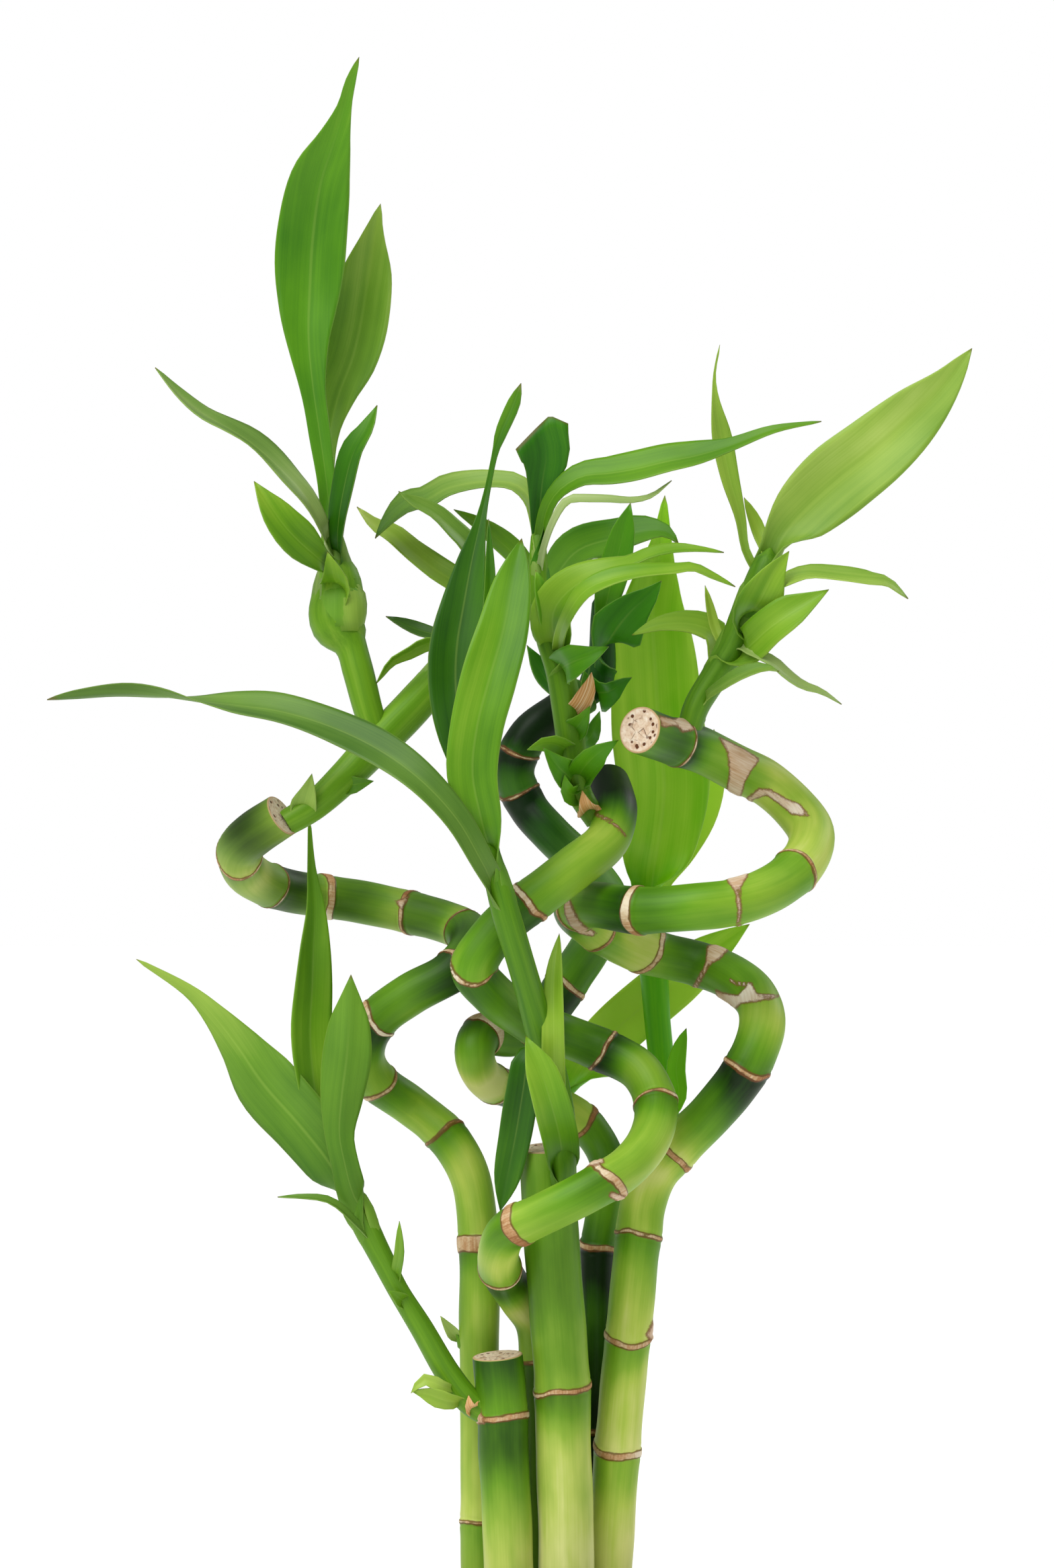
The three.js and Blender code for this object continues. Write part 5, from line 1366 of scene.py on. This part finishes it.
def glaze():
    """A warm white glaze, thin and browner at the lip and foot, over a bare clay foot ring."""
    finish = Finish("vase_glaze", Specular_IOR_Level=0.5, Coat_Weight=0.4, Coat_Roughness=0.06)
    spot = finish.spot()
    height = finish.node("ShaderNodeSeparateXYZ", values={"Vector": spot}, output="Z")
    pooling = finish.noise(spot, (22, 22, 9), detail=4, roughness=0.6)
    specks = finish.noise(spot, scale=900, detail=2, roughness=0.6)
    body = finish.ramp(pooling, ((0.25, "#dcd7cb"), (0.5, "#e9e5db"), (0.8, "#f3f0e8")))
    thin = finish.fade(height + (pooling - 0.5) * 0.002, (VASE_HEIGHT - 1.6) * MM, (VASE_HEIGHT - 0.2) * MM)
    bare = 1 - finish.fade(height + (pooling - 0.5) * 0.0008, 0.6 * MM, 1.1 * MM)
    colour = finish.mix(thin * 0.55, body, "#b79c78")
    colour = finish.mix(finish.fade(specks, 0.68, 0.74) * 0.5, colour, "#8f7c64")
    colour = finish.mix(bare, colour, "#c9ab86")
    relief = pooling * 0.7 + specks * 0.08
    return finish.done(Base_Color=colour, Roughness=0.16 + pooling * 0.08 + bare * 0.5,
                       Normal=finish.bump(relief, 0.35, 0.5))


def pebble_stone():
    """River stones: each its own tint, with soft veins, freckles and a satin skin."""
    finish = Finish("pebble_stone", Specular_IOR_Level=0.5)
    spot = finish.spot()
    clouds = finish.noise(spot, scale=170, detail=5, roughness=0.6)
    freckles = finish.noise(spot, scale=1500, detail=2)
    bands = finish.noise(spot, (60, 60, 420))
    tint = finish.ramp(finish.attribute("tone") + (clouds - 0.5) * 0.35, (
        (0.0, "#6e675d"), (0.25, "#9a8f80"), (0.5, "#c2b7a3"), (0.75, "#8b7a66"), (1.0, "#ddd6c8")))
    colour = finish.mix(finish.fade(bands, 0.58, 0.66) * 0.35, tint, "#efe9dc")
    colour = finish.mix(finish.fade(freckles, 0.62, 0.7) * 0.4, colour, "#4e463c")
    return finish.done(Base_Color=colour, Roughness=0.42 + clouds * 0.2,
                       Normal=finish.bump(clouds + freckles * 0.4, 0.3, 0.5))


def studio_paper():
    """Smooth pale paper with the faintest cloudiness."""
    finish = Finish("studio_paper", Roughness=0.9, Specular_IOR_Level=0.1)
    cloud = finish.noise(finish.spot(), scale=2.0, detail=2)
    return finish.done(Base_Color=finish.ramp(cloud, ((0.3, "#fafaf9"), (0.7, "#fdfdfc"))))


def make_floor():
    """A plain pale floor."""
    bpy.ops.object.select_all(action="DESELECT")
    bpy.ops.mesh.primitive_plane_add(size=8, location=(0, 0, 0))
    floor = bpy.context.object
    floor.name = "studio_floor"
    floor.data.materials.append(studio_paper())


def linked(name, data):
    """An object of the scene made of a lamp's or a camera's data."""
    made = bpy.data.objects.new(name, data)
    bpy.context.scene.collection.objects.link(made)
    return made


def make_light(name, size, power, spot):
    """A soft square light that faces the middle of the view."""
    lamp = bpy.data.lights.new(name, "AREA")
    lamp.size = size
    lamp.energy = power
    made = linked(name, lamp)
    made.location = spot
    facing = Vector((VIEW_AIM * MM).tolist()) - Vector(spot)
    made.rotation_euler = facing.to_track_quat("-Z", "Y").to_euler()


def make_studio():
    """Soft light all round on white, brighter from the upper left in front."""
    make_light("key", size=0.9, power=6, spot=(-1.0, -1.3, 1.3))
    make_light("rim", size=0.7, power=5, spot=(1.2, 0.9, 1.2))
    sun = bpy.data.lights.new("skylight", "SUN")
    sun.energy = SKYLIGHT_STRENGTH
    sun.angle = math.radians(50)
    linked("skylight", sun).rotation_euler = (math.radians(24), math.radians(-20), 0)
    world = bpy.data.worlds.new("studio_air")
    world.use_nodes = True
    tree = world.node_tree
    air = tree.nodes["Background"]
    air.inputs["Color"].default_value = (1, 1, 1, 1)
    seen = tree.nodes.new("ShaderNodeLightPath")
    strength = tree.nodes.new("ShaderNodeMapRange")
    strength.inputs["To Min"].default_value = AIR_STRENGTH
    strength.inputs["To Max"].default_value = 1.0
    tree.links.new(seen.outputs["Is Camera Ray"], strength.inputs["Value"])
    tree.links.new(strength.outputs["Result"], air.inputs["Strength"])
    bpy.context.scene.world = world
    bpy.context.scene.view_settings.view_transform = "Standard"


def make_camera():
    """The reference view: level with the plant, a little from above, the vase below its lower edge."""
    lens = bpy.data.cameras.new("view")
    lens.sensor_width = 36
    lens.lens = lens.sensor_width * VIEW_DISTANCE / (VIEW_ROWS * MM_PER_PIXEL)
    made = linked("view", lens)
    made.location = (VIEW_EYE * MM).tolist()
    made.rotation_euler = (math.pi / 2 - VIEW_TILT, 0, 0)
    bpy.context.scene.camera = made


def keep(piece, node):
    """Puts a finished piece on the part in place of its plain solid."""
    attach(piece, "root")
    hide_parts(node)


def dressed(piece, finish):
    """The same piece in one finish."""
    piece.data.materials.clear()
    piece.data.materials.append(finish)
    return piece


def make_canes():
    """The six canes, which share one skin and one cut face."""
    materials = [cane_skin(), cut_wood()]
    for index, cane in enumerate(CANES):
        piece = cane_shell(cane, 100 * index + 5).piece(cane.name + "_fine", materials)
        keep(piece, cane.name)


def make_shoots():
    """The leafy shoots, each in the greens of its slot."""
    materials = {
        "leaf": shoot_finishes("leaf", LEAF_GREENS, UNDER_GREENS),
        # Bright greens that paint light shining through the back leaves
        "bright_leaf": shoot_finishes("bright_leaf", BACKLIT_GREENS, BACKLIT_GREENS),
        "dark_leaf": shoot_finishes("dark_leaf", DARK_GREENS, DARK_GREENS),
    }
    for index, shoot in enumerate(SHOOTS):
        keep(shoot_piece(shoot, materials[shoot.slot], 300 + 10 * index), shoot.name)


make_camera()
make_studio()
make_floor()
keep(dressed(vase_piece(), glaze()), "vase")
keep(dressed(bed_piece(), pebble_stone()), "pebble_bed")
make_canes()
make_shoots()
